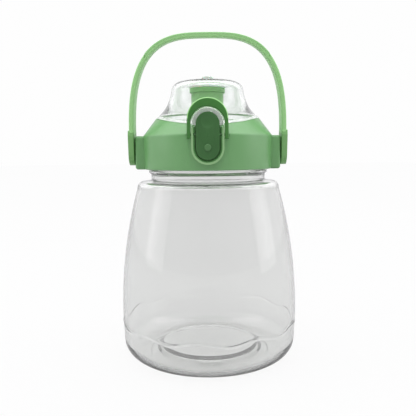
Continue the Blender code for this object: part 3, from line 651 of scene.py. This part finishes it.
def make_bottle():
    lip = rounded([
        (NECK_BORE, 130 * MM, 0), (NECK_BORE, BOTTLE_TOP, 0.3 * MM),
        (NECK_RADIUS, BOTTLE_TOP, 0.4 * MM), (NECK_RADIUS, 136.2 * MM, 0),
    ])
    threaded = [(NECK_RADIUS, z) for z in spread(136 * MM, 124.5 * MM, 36)]
    neck = rounded([
        (NECK_RADIUS, 124.4 * MM, 0), (NECK_RADIUS, NECK_RING_TOP, 0.5 * MM),
        (NECK_RING_RADIUS, NECK_RING_TOP, 0.35 * MM), (NECK_RING_RADIUS, 120.7 * MM, 0.35 * MM),
        (37.1 * MM, 119.6 * MM, 0.8 * MM), (36.9 * MM, 115.6 * MM, 1.3 * MM),
        (45.7 * MM, 114.4 * MM, 3.4 * MM), (barrel_radius(BARREL_TOP), BARREL_TOP, 0),
    ])
    wave_low, wave_high = WAVE_HEIGHT - 4 * MM, WAVE_HEIGHT + 4 * MM
    side = [(barrel_radius(z), z) for z in spread(BARREL_TOP - 2 * MM, wave_high, 34)]
    side += [(barrel_radius(z), z) for z in spread(wave_high - 0.25 * MM, wave_low, 32)]
    foot = barrel_radius(BASE_FILLET) - BASE_RING_RADIUS
    fillet = arc((BASE_RING_RADIUS, BASE_FILLET), (foot, BASE_FILLET), 0, -90, 18)
    punt = rounded([
        (BASE_RING_RADIUS, 0, 0), (39.6 * MM, 0, 1.2 * MM), (34.2 * MM, 1.7 * MM, 1.6 * MM),
        (31.4 * MM, 4.7 * MM, 1.2 * MM), (0, 5.4 * MM, 0),
    ])
    inner_base = rounded([
        (0, 7.9 * MM, 0), (30.9 * MM, 7.2 * MM, 1.6 * MM), (33.4 * MM, 4.5 * MM, 1.4 * MM),
        (39.0 * MM, 2.7 * MM, 2.0 * MM), (BASE_RING_RADIUS, 2.5 * MM, 0),
    ])
    inner_foot = (barrel_radius(BASE_FILLET, BODY_WALL) - BASE_RING_RADIUS, BASE_FILLET - 2.1 * MM)
    inner_fillet = arc((BASE_RING_RADIUS, BASE_FILLET + 0.4 * MM), inner_foot, -90, 0, 14)
    inner_side = [(barrel_radius(z, BODY_WALL), z) for z in spread(17 * MM, BARREL_TOP - 2 * MM, 26)]
    inner_neck = rounded([
        (barrel_radius(BARREL_TOP, BODY_WALL), BARREL_TOP, 0), (44.2 * MM, 112.9 * MM, 2.6 * MM),
        (NECK_BORE, 114.3 * MM, 1.4 * MM), (NECK_BORE, 129 * MM, 0),
    ])
    profile = lip + threaded + neck + side + fillet[1:] + punt[1:]
    profile += inner_base + inner_fillet[1:] + inner_side + inner_neck
    reliefs = [wave_relief, thread_relief(NECK_RADIUS, NECK_RADIUS + THREAD_DEPTH, NECK_THREAD_START)]
    body = revolve("bottle_wall", profile, steps=288, reliefs=reliefs)
    finish_piece(body, "bottle", "bottle_body", [CLEAR_BODY], 60)


# ---- Lid ----------------------------------------------------------------------------------------


def lid_radius(z):
    """Outer contour shared by the shell's cone and the dome's wall."""
    if z < CONE_END:
        share = (z - CONE_START) / (CONE_END - CONE_START)
        return CONE_START_RADIUS + share * (CONE_END_RADIUS - CONE_START_RADIUS)
    fall = exp(-(z - CONE_END) / DOME_FLARE_LENGTH)
    return DOME_WAIST_RADIUS + (CONE_END_RADIUS - DOME_WAIST_RADIUS) * fall


def hinge_bore():
    """A cutter for the holes round the rear hinge's pin."""
    return cross_pin("hinge_bore", 20 * MM, HINGE_AXIS, HINGE_PIN_RADIUS + PIN_PLAY)


def latch_bore():
    """A cutter for the holes round the front latch's pin."""
    return cross_pin("latch_bore", 15 * MM, LATCH_AXIS, LATCH_PIN_RADIUS + PIN_PLAY)


def lug(side):
    """The block on the collar's side that holds a handle pin, hollowed to the collar's bore."""
    low, high = sorted((side * LUG_INNER, side * LUG_OUTER))
    ear = block("lug", (low, -LUG_HALF_WIDTH, SKIRT_BOTTOM), (high, LUG_HALF_WIDTH, LUG_TOP), 1.7 * MM)
    bottom, top = (0, 0, SKIRT_BOTTOM - 5 * MM), (0, 0, LUG_TOP + 5 * MM)
    room = pin("lug_room", bottom, top, SKIRT_BORE + 0.9 * MM, steps=ROUND_STEPS)
    combine(ear, room)
    return ear


def bezel_slope():
    """A cutter that slopes the bezel's front from a thin outer rim down to the pocket."""
    build = bmesh.new()
    rings = []
    levels = (
        (BEZEL_HALF_WIDTH - 0.7 * MM, BEZEL_FRONT - 0.5 * MM),
        (BEZEL_HALF_WIDTH - 1.1 * MM, BEZEL_FRONT - 0.01 * MM),
        (POCKET_HALF_WIDTH - 0.1 * MM, BEZEL_FRONT + 1.3 * MM),
    )
    for half_width, y in levels:
        low = POCKET_BOTTOM + POCKET_HALF_WIDTH - half_width
        rings.append([build.verts.new((x, y, z)) for x, z in stadium(half_width, low, POCKET_TOP)])
    skin(build, rings)
    return new_object("bezel_slope", build)


def make_shell():
    flare = [(lid_radius(z), z) for z in spread(SHELL_TOP, CONE_END + 0.6 * MM, 14)]
    side = rounded([
        (lid_radius(CONE_END), CONE_END, 0), (SHOULDER_RADIUS, SHOULDER_HEIGHT, 2.4 * MM),
        (SKIRT_RADIUS, SKIRT_BOTTOM, 0.7 * MM), (SKIRT_BORE, SKIRT_BOTTOM, 0.3 * MM),
        (SKIRT_BORE, DECK_TOP + 0.4 * MM, 0),
        (CONE_END_RADIUS - SHELL_WALL, CONE_END, 0),
    ])
    inside = [(r - SHELL_WALL, z) for r, z in reversed(flare)]
    shell = revolve("lid_collar", flare + side + inside)
    outline = stadium(BEZEL_HALF_WIDTH, BEZEL_BOTTOM, BEZEL_TOP)
    combine(shell, plate("bezel", outline, BEZEL_BACK, BEZEL_FRONT, (0, BEZEL_EDGE)), "UNION")
    bridge = block("bridge", (-9.2 * MM, -41.3 * MM, 144.3 * MM), (9.2 * MM, -36.2 * MM, 151 * MM))
    combine(shell, bridge, "UNION")
    for side_sign in (-1, 1):
        combine(shell, lug(side_sign), "UNION")
        combine(shell, barrel_lug("ear", EAR_INNER, EAR_OUTER, EAR_FOOT, side_sign), "UNION")
    above = parting_side("above", True)
    for side_sign in (-1, 1):
        low, high = sorted((side_sign * (EAR_INNER - 0.01 * MM), side_sign * (EAR_OUTER + 0.01 * MM)))
        combine(above, block("ear_room", (low, 31 * MM, 140 * MM), (high, 60 * MM, 170 * MM)))
    combine(shell, above)
    outline = stadium(POCKET_HALF_WIDTH, POCKET_BOTTOM, POCKET_TOP)
    combine(shell, plate("pocket", outline, POCKET_BACK, -50 * MM))
    combine(shell, bezel_slope())
    combine(shell, hinge_bore())
    combine(shell, latch_bore())
    for side_sign in (-1, 1):
        start = (side_sign * (BEZEL_HALF_WIDTH + 0.1 * MM), *LATCH_AXIS)
        end = (side_sign * (LOOP_HALF_WIDTH + 1.0 * MM), *LATCH_AXIS)
        combine(shell, pin("loop_room", start, end, 3.3 * MM))
        start = (side_sign * 42.6 * MM, 0, PIVOT_HEIGHT)
        end = (side_sign * 55 * MM, 0, PIVOT_HEIGHT)
        combine(shell, pin("pin_room", start, end, HANDLE_PIN_RADIUS + GAP))
    finish_piece(shell, "lid", "lid_shell", [LID_GREEN, LID_HIGHLIGHT_GREEN])
    # Painted highlight: the faces at the bezel's front rim take the lighter lid green.
    for face in shell.data.polygons:
        depth = max(shell.data.vertices[i].co.y for i in face.vertices)
        if depth < BEZEL_FRONT + BEZEL_EDGE + 0.01 * MM:
            face.material_index = 1


def make_liner():
    outside = rounded([
        (SPIGOT_BORE, 150 * MM, 0), (SPIGOT_BORE, SPIGOT_TOP, 0.3 * MM),
        (SPIGOT_RADIUS, SPIGOT_TOP, 0.6 * MM), (SPIGOT_RADIUS, DECK_TOP, 0.1 * MM),
        (LINER_RADIUS, DECK_TOP, 0.6 * MM), (LINER_RADIUS, LINER_BOTTOM, 0.3 * MM),
        (LINER_BORE, LINER_BOTTOM, 0.3 * MM), (LINER_BORE, LINER_BOTTOM + 1 * MM, 0),
    ])
    threaded = [(LINER_BORE, z) for z in spread(LINER_BOTTOM + 1.4 * MM, 134.6 * MM, 30)]
    top = [(LINER_BORE, DECK_BOTTOM), (SPIGOT_BORE, DECK_BOTTOM)]
    relief = thread_relief(LINER_BORE, LINER_BORE - THREAD_DEPTH, NECK_THREAD_START - THREAD_PITCH / 2)
    liner = revolve("inner_liner", outside + threaded + top, reliefs=[relief])
    bottom, top = (0, VENT_OFFSET, DECK_BOTTOM - 2 * MM), (0, VENT_OFFSET, DECK_TOP + 2 * MM)
    combine(liner, pin("vent", bottom, top, VENT_RADIUS))
    finish_piece(liner, "lid", "lid_liner", [LINER_GREEN])


def make_spout():
    bore = SPIGOT_RADIUS + GAP
    profile = rounded([
        (SPOUT_HOLE, SPOUT_TOP, 0.5 * MM), (SPOUT_FLANGE_RADIUS, SPOUT_TOP, 0.7 * MM),
        (SPOUT_FLANGE_RADIUS, SPOUT_FLANGE_BOTTOM, 0.5 * MM),
        (SPOUT_RADIUS, SPOUT_FLANGE_BOTTOM - 0.4 * MM, 0.3 * MM),
        (SPOUT_RADIUS, DECK_TOP + 3 * MM, 1.2 * MM), (SPOUT_FOOT_RADIUS, DECK_TOP + 2.4 * MM, 0.6 * MM),
        (SPOUT_FOOT_RADIUS, DECK_TOP + GAP, 0.2 * MM), (bore + 1.9 * MM, DECK_TOP + GAP, 0.1 * MM),
        (bore + 1.9 * MM, DECK_TOP + 2.4 * MM, 0.1 * MM), (bore, DECK_TOP + 2.4 * MM, 0.1 * MM),
        (bore, SPIGOT_TOP + GAP, 0.1 * MM), (SPOUT_HOLE, SPIGOT_TOP + GAP, 0.1 * MM),
    ], closed=True)
    spout = revolve("drinking_spout", profile, steps=128)
    finish_piece(spout, "lid", "spout_mouthpiece", [SPOUT_GREEN])


def make_seals():
    low, high = DECK_BOTTOM - GAP, BOTTLE_TOP + GAP
    ring = revolve("seal_ring", rounded_box(32.6 * MM, 37.1 * MM, high, low, 0.35 * MM))
    finish_piece(ring, "seal_ring", "lid_seal_ring", [SILICONE])
    centre = (SPIGOT_RADIUS + 1.05 * MM, DECK_TOP + 1.2 * MM)
    o_ring = revolve("o_ring", arc(centre, (0.75 * MM, 0.8 * MM), 90, -255, 24), steps=96)
    finish_piece(o_ring, "lid", "spout_o_ring", [SILICONE], 60)
    flap = rounded([
        (0, DECK_TOP + 1.5 * MM, 0), (3.2 * MM, DECK_TOP + 1.2 * MM, 0.4 * MM),
        (3.2 * MM, DECK_TOP + GAP, 0.1 * MM), (1.3 * MM, DECK_TOP + GAP, 0.1 * MM),
        (1.3 * MM, DECK_BOTTOM - GAP, 0.1 * MM), (2.6 * MM, DECK_BOTTOM - GAP, 0.2 * MM),
        (1.2 * MM, DECK_BOTTOM - 2.6 * MM, 0.4 * MM), (0, DECK_BOTTOM - 2.8 * MM, 0),
    ])
    place = Matrix.Translation((0, VENT_OFFSET, 0))
    valve = revolve("air_valve", flap, closed=False, steps=64, place=place)
    finish_piece(valve, "lid", "vent_valve", [SILICONE])


# ---- Dome ---------------------------------------------------------------------------------------


def ribs(name, half_width, pitch, depth, front, low, high):
    """A row of thin upright wedges that cut grooves into a front face."""
    build = bmesh.new()
    count = int(2 * half_width / pitch)
    for i in range(count + 1):
        x = (i - count / 2) * pitch
        left, right = x - 0.3 * pitch, x + 0.3 * pitch
        outer = front - 1 * MM
        section = [(left, outer), (right, outer), (right, front), (x, front + depth), (left, front)]
        lower = [build.verts.new((u, v, low)) for u, v in section]
        upper = [build.verts.new((u, v, high)) for u, v in section]
        build.faces.new(lower)
        build.faces.new(upper)
        for k in range(len(section)):
            ahead = (k + 1) % len(section)
            build.faces.new((lower[k], lower[ahead], upper[ahead], upper[k]))
    return new_object(name, build)


def make_dome():
    shoulder = (lid_radius(DOME_CORNER_HEIGHT) - DOME_FLAT_RADIUS, DOME_TOP - DOME_CORNER_HEIGHT)
    outside = [(DOME_HOLE, DOME_TOP)] + arc((DOME_FLAT_RADIUS, DOME_CORNER_HEIGHT), shoulder, 90, 0, 16)
    top, bottom = DOME_CORNER_HEIGHT - 0.7 * MM, 148 * MM
    outside += [(lid_radius(z), z) for z in spread(top, bottom, 40)]
    inner = (shoulder[0] - DOME_WALL, shoulder[1] - DOME_WALL)
    inside = [(lid_radius(z) - DOME_WALL, z) for z in spread(bottom, top, 40)]
    inside += arc((DOME_FLAT_RADIUS, DOME_CORNER_HEIGHT), inner, 0, 90, 14)
    dome = revolve("clear_dome", outside + inside + [(DOME_HOLE, DOME_TOP - DOME_WALL)], steps=256)
    outline = arc((0, TAB_CENTRE), (TAB_RADIUS, TAB_RADIUS), 0, 180, 49)
    outline += [(-TAB_RADIUS, 145 * MM), (TAB_RADIUS, 145 * MM)]
    tab = plate("tab", outline, TAB_BACK, TAB_FRONT, (0, 0.5 * MM))
    combine(tab, ribs("ribs", 8.6 * MM, 0.85 * MM, 0.22 * MM, TAB_FRONT, 140 * MM, 170 * MM))
    combine(dome, tab, "UNION")
    for side in (-1, 1):
        knuckle = barrel_lug("knuckle", DOME_KNUCKLE_INNER, DOME_KNUCKLE_OUTER, DOME_KNUCKLE_FOOT, side)
        combine(dome, knuckle, "UNION")
    combine(dome, parting_side("below", False))
    slot = block("slot", (-2.8 * MM, TAB_FRONT - 1 * MM, 140 * MM), (2.8 * MM, -37.6 * MM, 156.7 * MM))
    combine(dome, slot)
    combine(dome, hinge_bore())
    finish_piece(dome, "dome", "dome_cover", [CLEAR_DOME, DOME_HIGHLIGHT_CLEAR], 40)
    # Painted highlight: the downward faces on the parting rim and the tab's ribbed front take the milky white
    # clear plastic.
    for face in dome.data.polygons:
        on_rim = abs(face.center.z - parting_line(face.center.y)) < 0.5 * MM and face.normal.z < -0.5
        if on_rim or face.center.y < TAB_FRONT + 0.4 * MM:
            face.material_index = 1


def make_stopper():
    ceiling = DOME_TOP - DOME_WALL
    profile = rounded([
        (0, DOME_TOP + 3.4 * MM, 0), (4.1 * MM, DOME_TOP + 3.2 * MM, 1.4 * MM),
        (4.1 * MM, DOME_TOP + GAP, 0.2 * MM), (2.2 * MM, DOME_TOP + GAP, 0.1 * MM),
        (2.2 * MM, ceiling - GAP, 0.1 * MM), (12.7 * MM, ceiling - GAP, 0.3 * MM),
        (12.5 * MM, ceiling - 1.4 * MM, 0.4 * MM), (5.4 * MM, ceiling - 1.5 * MM, 0.4 * MM),
        (4.6 * MM, ceiling - 4.5 * MM, 1.0 * MM), (0, ceiling - 4.6 * MM, 0),
    ])
    stopper = revolve("spout_plug", profile, closed=False, steps=96)
    finish_piece(stopper, "dome", "spout_stopper", [SILICONE], 50)


def make_hinge():
    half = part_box("hinge_pin")[1].x
    rod = cross_pin("hinge_rod", half, HINGE_AXIS, HINGE_PIN_RADIUS)
    finish_piece(rod, "lid", "hinge_pin", [STEEL])
    radius, half_length, turns, per_turn = 1.95 * MM, 3.0 * MM, 4.5, 36
    points = [(-half_length, HINGE_Y + 3.2 * MM, HINGE_Z - radius - 1.4 * MM)]
    for i in range(int(turns * per_turn) + 1):
        angle = -pi / 2 + 2 * pi * i / per_turn
        x = -half_length + 2 * half_length * i / (turns * per_turn)
        points.append((x, HINGE_Y + radius * cos(angle), HINGE_Z + radius * sin(angle)))
    points.append((half_length, HINGE_Y - 3.4 * MM, HINGE_Z + radius + 0.2 * MM))
    finish_piece(coil("torsion_spring", points, 0.38 * MM), "lid", "hinge_spring", [STEEL], 60)


# ---- Latch --------------------------------------------------------------------------------------


def make_button():
    outline = stadium(BUTTON_HALF_WIDTH, BUTTON_BOTTOM, BUTTON_TOP)
    button = plate("button", outline, BUTTON_BACK, BUTTON_FRONT, (0.3 * MM, 0.6 * MM))
    low, high = BUTTON_BOTTOM + 1.6 * MM, BUTTON_TOP - 1.6 * MM
    combine(button, ribs("streaks", 5.6 * MM, 0.62 * MM, 0.10 * MM, BUTTON_FRONT, low, high))
    dish_radius, dish_depth = 14.0 * MM, 0.6 * MM
    start = (0, BUTTON_FRONT - dish_radius + dish_depth, 151.0 * MM)
    ball = [(dish_radius * sin(a), dish_radius * cos(a)) for a in spread(0, pi, 80)]
    place = Matrix.Translation(start) @ Matrix.Rotation(pi / 2, 4, "X")
    combine(button, revolve("dish", ball, closed=False, steps=96, place=place))
    deep, proud = BUTTON_FRONT + 1 * MM, BUTTON_FRONT - 0.6 * MM
    combine(button, front_pin("bump", deep, proud, BUMP_HEIGHT, BUMP_RADIUS, 0.55 * MM), "UNION")
    deep, proud, height = BUTTON_FRONT + 1.4 * MM, BUTTON_FRONT + 0.5 * MM, BUTTON_BOTTOM + 0.2 * MM
    combine(button, front_pin("nib", deep, proud, height, 0.45 * MM, 0.1 * MM, 24), "UNION")
    nose = block("nose", (-2.3 * MM, BUTTON_BACK - 0.4 * MM, 153.6 * MM), (2.3 * MM, -38.6 * MM, 155.4 * MM))
    combine(button, nose, "UNION")
    back, deep = BUTTON_BACK + 1 * MM, BUTTON_BACK - 1.7 * MM
    combine(button, front_pin("seat", back, deep, BUTTON_SPRING_HEIGHT, 2.3 * MM))
    combine(button, latch_bore())
    finish_piece(button, "button", "push_button", [BUTTON_GREEN, BUMP_GREEN])
    for face in button.data.polygons:
        off = Vector((face.center.x, 0, face.center.z - BUMP_HEIGHT)).length
        if face.center.y < BUTTON_FRONT - 0.02 * MM and off < BUMP_RADIUS + 0.1 * MM:
            face.material_index = 1


def make_button_spring():
    radius, turns, per_turn = 1.6 * MM, 3, 30
    start = BUTTON_BACK - 0.95 * MM
    end = -LINER_RADIUS - 0.75 * MM
    points = []
    for i in range(turns * per_turn + 1):
        angle = 2 * pi * i / per_turn
        y = start + (end - start) * i / (turns * per_turn)
        points.append((radius * cos(angle), y, BUTTON_SPRING_HEIGHT + radius * sin(angle)))
    finish_piece(coil("push_spring", points, 0.25 * MM), "lid", "button_spring", [STEEL], 60)


def make_latch_pin():
    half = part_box("latch_pin")[1].x
    rod = cross_pin("latch_rod", half, LATCH_AXIS, LATCH_PIN_RADIUS, 0.2 * MM)
    finish_piece(rod, "lid", "latch_pin", [BUTTON_GREEN])


def make_lock_loop():
    flare = 0.4 * MM
    outline = arc((0, LOOP_OUTER_CENTRE), (LOOP_HALF_WIDTH, LOOP_HALF_WIDTH), 0, 180, 65)
    outline += [(-LOOP_HALF_WIDTH - flare, LOOP_BOTTOM), (-LOOP_WINDOW, LOOP_BOTTOM)]
    outline += arc((0, LOOP_INNER_CENTRE), (LOOP_WINDOW, LOOP_WINDOW), 180, 0, 55)
    outline += [(LOOP_WINDOW, LOOP_BOTTOM), (LOOP_HALF_WIDTH + flare, LOOP_BOTTOM)]
    loop = plate("loop", outline, LOOP_BACK, LOOP_FRONT, (0.4 * MM, 0.8 * MM))
    combine(loop, latch_bore())
    finish_piece(loop, "loop", "lock_loop", [LOOP_GREEN, LOOP_HIGHLIGHT_GREEN])
    # Painted highlight: the outer side faces of the top arch take the lighter loop green; the legs and the
    # front keep the dark loop green.
    for face in loop.data.polygons:
        outward = Vector((face.center.x, 0, max(0, face.center.z - LOOP_OUTER_CENTRE))).normalized()
        on_arch = face.center.z > LOOP_OUTER_CENTRE - 1 * MM
        if on_arch and face.normal.y > -0.93 and face.normal.dot(outward) > 0.1:
            face.material_index = 1


# ---- Handle -------------------------------------------------------------------------------------


def handle_place():
    """The placing of the bail's own plane: at its pivots, leaning back."""
    return Matrix.Translation((0, 0, PIVOT_HEIGHT)) @ Matrix.Rotation(HANDLE_LEAN, 4, "X")


def bail_path(inset, limit, count=121):
    """Points of the bail's contour, from +x over the top to -x, between |x| = limit."""
    power = 2 / HANDLE_SQUARENESS
    a, b = HANDLE_HALF_SPAN - inset, HANDLE_ARCH - inset
    first = acos(min(1.0, (limit / a) ** (1 / power)))
    points = []
    for angle in spread(first, pi - first, count):
        x = a * abs(cos(angle)) ** power * (1 if angle < pi / 2 else -1)
        points.append((x, HANDLE_STRAIGHT + b * sin(angle) ** power))
    return points


def make_handle():
    span = HANDLE_HALF_SPAN - HANDLE_THICKNESS / 2
    arch = bail_path(HANDLE_THICKNESS / 2, span)
    path = [(span, s) for s in spread(0, HANDLE_STRAIGHT - 1 * MM, 6)] + arch
    path += [(-span, s) for s in spread(HANDLE_STRAIGHT - 1 * MM, 0, 6)]
    half = HANDLE_THICKNESS / 2
    section = rounded_box(-half, half, -HANDLE_HALF_WIDTH, HANDLE_HALF_WIDTH, 0.9 * MM)
    strap = sweep("handle_bail", path, section, handle_place())
    limit = GRIP_HALF_SPAN + GAP
    room = bail_path(-2 * MM, limit) + bail_path(GRIP_THICKNESS + GAP, limit)[::-1]
    combine(strap, plate("room", room, 12 * MM, -12 * MM, place=handle_place()))
    inner = HANDLE_HALF_SPAN - HANDLE_THICKNESS
    tip = HANDLE_HALF_WIDTH - 0.4 * MM
    shoulder = (7.9 * MM, 12.2 * MM, 1 * MM)
    for side in (-1, 1):
        outline = arc((0, 0), (PADDLE_RADIUS, PADDLE_RADIUS), 180, 360, 49)
        outline += rounded([(PADDLE_RADIUS, 0.5 * MM, 0), shoulder, (tip, 15 * MM, 0)])
        outline += rounded([(-tip, 15 * MM, 0), (-shoulder[0], *shoulder[1:]), (-PADDLE_RADIUS, 0.5 * MM, 0)])
        turn = handle_place() @ Matrix.Rotation(side * pi / 2, 4, "Z")
        paddle = plate("paddle", outline, -inner, -PADDLE_OUTER, (0.5 * MM, 0.7 * MM), place=turn)
        combine(strap, paddle, "UNION")
        start, end = (side * 40 * MM, 0, PIVOT_HEIGHT), (side * 60 * MM, 0, PIVOT_HEIGHT)
        combine(strap, pin("bore", start, end, HANDLE_PIN_RADIUS + GAP))
        start = (side * (PADDLE_OUTER - 1.1 * MM), 0, PIVOT_HEIGHT)
        combine(strap, pin("head_room", start, end, 4.2 * MM, 0.2 * MM))
    finish_piece(strap, "handle", "handle_strap", [HANDLE_GREEN, PADDLE_SHADE_GREEN])
    # Painted shade: faces lower than 13 mm above the pivot, which are the paddles, take the darker handle
    # green.
    for face in strap.data.polygons:
        if face.center.z < PIVOT_HEIGHT + 13 * MM:
            face.material_index = 1


def make_grip():
    path = bail_path(GRIP_THICKNESS / 2, GRIP_HALF_SPAN + 3 * MM)
    half = GRIP_THICKNESS / 2
    low = -half - GAP - 0.05 * MM
    width = HANDLE_HALF_WIDTH
    section = rounded([
        (low, -width, 0.08 * MM), (low, width, 0.08 * MM),
        (half, width, 0.5 * MM), (half, -width, 0.5 * MM),
    ], closed=True)
    grip = sweep("handle_pad", path, section, handle_place())
    for side in (-1, 1):
        near, far = sorted((side * GRIP_HALF_SPAN, side * 60 * MM))
        combine(grip, block("end_cut", (near, -40 * MM, 150 * MM), (far, 40 * MM, 230 * MM)))
    finish_piece(grip, "handle", "handle_grip", [GRIP_GREEN])


def make_handle_pin(side):
    word = "right" if side > 0 else "left"
    length = PADDLE_OUTER - HANDLE_PIN_INNER
    profile = rounded([
        (0, 0, 0), (HANDLE_PIN_RADIUS, 0, 0.3 * MM), (HANDLE_PIN_RADIUS, length - 0.8 * MM, 0.1 * MM),
        (HANDLE_PIN_HEAD, length - 0.8 * MM, 0.15 * MM), (HANDLE_PIN_HEAD, length - 0.1 * MM, 0.45 * MM),
        (0, length - 0.1 * MM, 0),
    ])
    turn = along((side * HANDLE_PIN_INNER, 0, PIVOT_HEIGHT), (side * PADDLE_OUTER, 0, PIVOT_HEIGHT))
    rivet = revolve("pivot_" + word, profile, closed=False, steps=64, place=turn)
    finish_piece(rivet, "lid", "handle_pin_" + word, [PIN_GREEN])


# ---- Studio -------------------------------------------------------------------------------------


def make_floor():
    """A pale floor, near white where it is seen directly and greyer where a piece shows it."""
    build = bmesh.new()
    bmesh.ops.create_circle(build, cap_ends=True, segments=96, radius=FLOOR_RADIUS)
    bmesh.ops.translate(build, vec=(0, 0, -0.1 * MM), verts=build.verts)
    floor = new_object("floor", build)
    material, tree, shader = start_material("pale_floor")
    cloud = ranged(tree, noise(tree, 1.5, 2.0), 0.0, 1.0)
    tone = blended(tree, cloud, (FLOOR_SHADE,) * 3, (FLOOR_SHADE + 0.02,) * 3)
    tree.links.new(tone, shader.inputs["Base Color"])
    shader.inputs["Roughness"].default_value = 0.9
    shader.inputs["Specular IOR Level"].default_value = 0.1
    glow = tree.nodes.new("ShaderNodeEmission")
    glow.inputs["Color"].default_value = (FLOOR_GLOW, FLOOR_GLOW, FLOOR_GLOW, 1.0)
    path = tree.nodes.new("ShaderNodeLightPath")
    mix = tree.nodes.new("ShaderNodeMixShader")
    share = ranged(tree, path.outputs["Is Camera Ray"], 0.0, FLOOR_GLOW_SHARE, 0.0, 1.0)
    tree.links.new(share, mix.inputs["Fac"])
    tree.links.new(shader.outputs["BSDF"], mix.inputs[1])
    tree.links.new(glow.outputs["Emission"], mix.inputs[2])
    tree.links.new(mix.outputs["Shader"], tree.nodes["Material Output"].inputs["Surface"])
    floor.data.materials.append(material)


def make_world():
    """A soft studio, darker in front of the bottle, and plain white where it is seen directly."""
    world = bpy.data.worlds.new("studio")
    bpy.context.scene.world = world
    world.use_nodes = True
    tree = world.node_tree
    background = tree.nodes["Background"]
    coords = tree.nodes.new("ShaderNodeTexCoord")
    parts = tree.nodes.new("ShaderNodeSeparateXYZ")
    ramp = tree.nodes.new("ShaderNodeValToRGB")
    tree.links.new(coords.outputs["Generated"], parts.inputs["Vector"])
    tree.links.new(ranged(tree, parts.outputs["Y"], 0.0, 1.0, -1.0, 1.0), ramp.inputs["Fac"])
    stops = ramp.color_ramp.elements
    for place in ROOM_PLACES[1:-1]:
        stops.new(place)
    for stop, level in zip(stops, ROOM_LEVELS):
        stop.color = (level, level, level * 1.01, 1.0)
    lift = tree.nodes.new("ShaderNodeVectorMath")
    lift.operation = "SCALE"
    tree.links.new(ramp.outputs["Color"], lift.inputs["Vector"])
    tree.links.new(ranged(tree, parts.outputs["Z"], 1.0, ROOM_LIFT, 0.0, 1.0), lift.inputs["Scale"])
    path = tree.nodes.new("ShaderNodeLightPath")
    seen = blended(tree, path.outputs["Is Camera Ray"], lift.outputs["Vector"], ROOM_SEEN)
    tree.links.new(seen, background.inputs["Color"])


def make_lamp(name, place, size, power):
    lamp = bpy.data.lights.new(name, "AREA")
    lamp.shape = "RECTANGLE"
    lamp.size, lamp.size_y = size
    lamp.energy = power
    obj = bpy.data.objects.new(name, lamp)
    bpy.context.scene.collection.objects.link(obj)
    obj.visible_camera = False
    aim = (Vector(LAMP_TARGET) - Vector(place)).to_track_quat("-Z", "Y")
    obj.matrix_world = Matrix.Translation(place) @ aim.to_matrix().to_4x4()


def make_studio():
    scene = bpy.context.scene
    scene.view_settings.view_transform = "Standard"
    camera = bpy.data.cameras.new("camera")
    camera.lens = CAMERA_LENS
    camera.sensor_width = 36.0
    eye = bpy.data.objects.new("camera", camera)
    scene.collection.objects.link(eye)
    dip = Matrix.Rotation(pi / 2 - CAMERA_DIP, 4, "X")
    eye.matrix_world = Matrix.Translation(CAMERA_PLACE) @ dip @ Matrix.Rotation(CAMERA_ROLL, 4, "Z")
    scene.camera = eye
    for name, place, size, power in LAMPS:
        make_lamp(name, place, size, power)
    make_floor()
    make_world()


make_studio()
make_bottle()
make_shell()
make_liner()
make_spout()
make_seals()
make_dome()
make_stopper()
make_hinge()
make_button()
make_button_spring()
make_latch_pin()
make_lock_loop()
make_handle()
make_grip()
for pin_side in (-1, 1):
    make_handle_pin(pin_side)

bpy.context.view_layer.update()
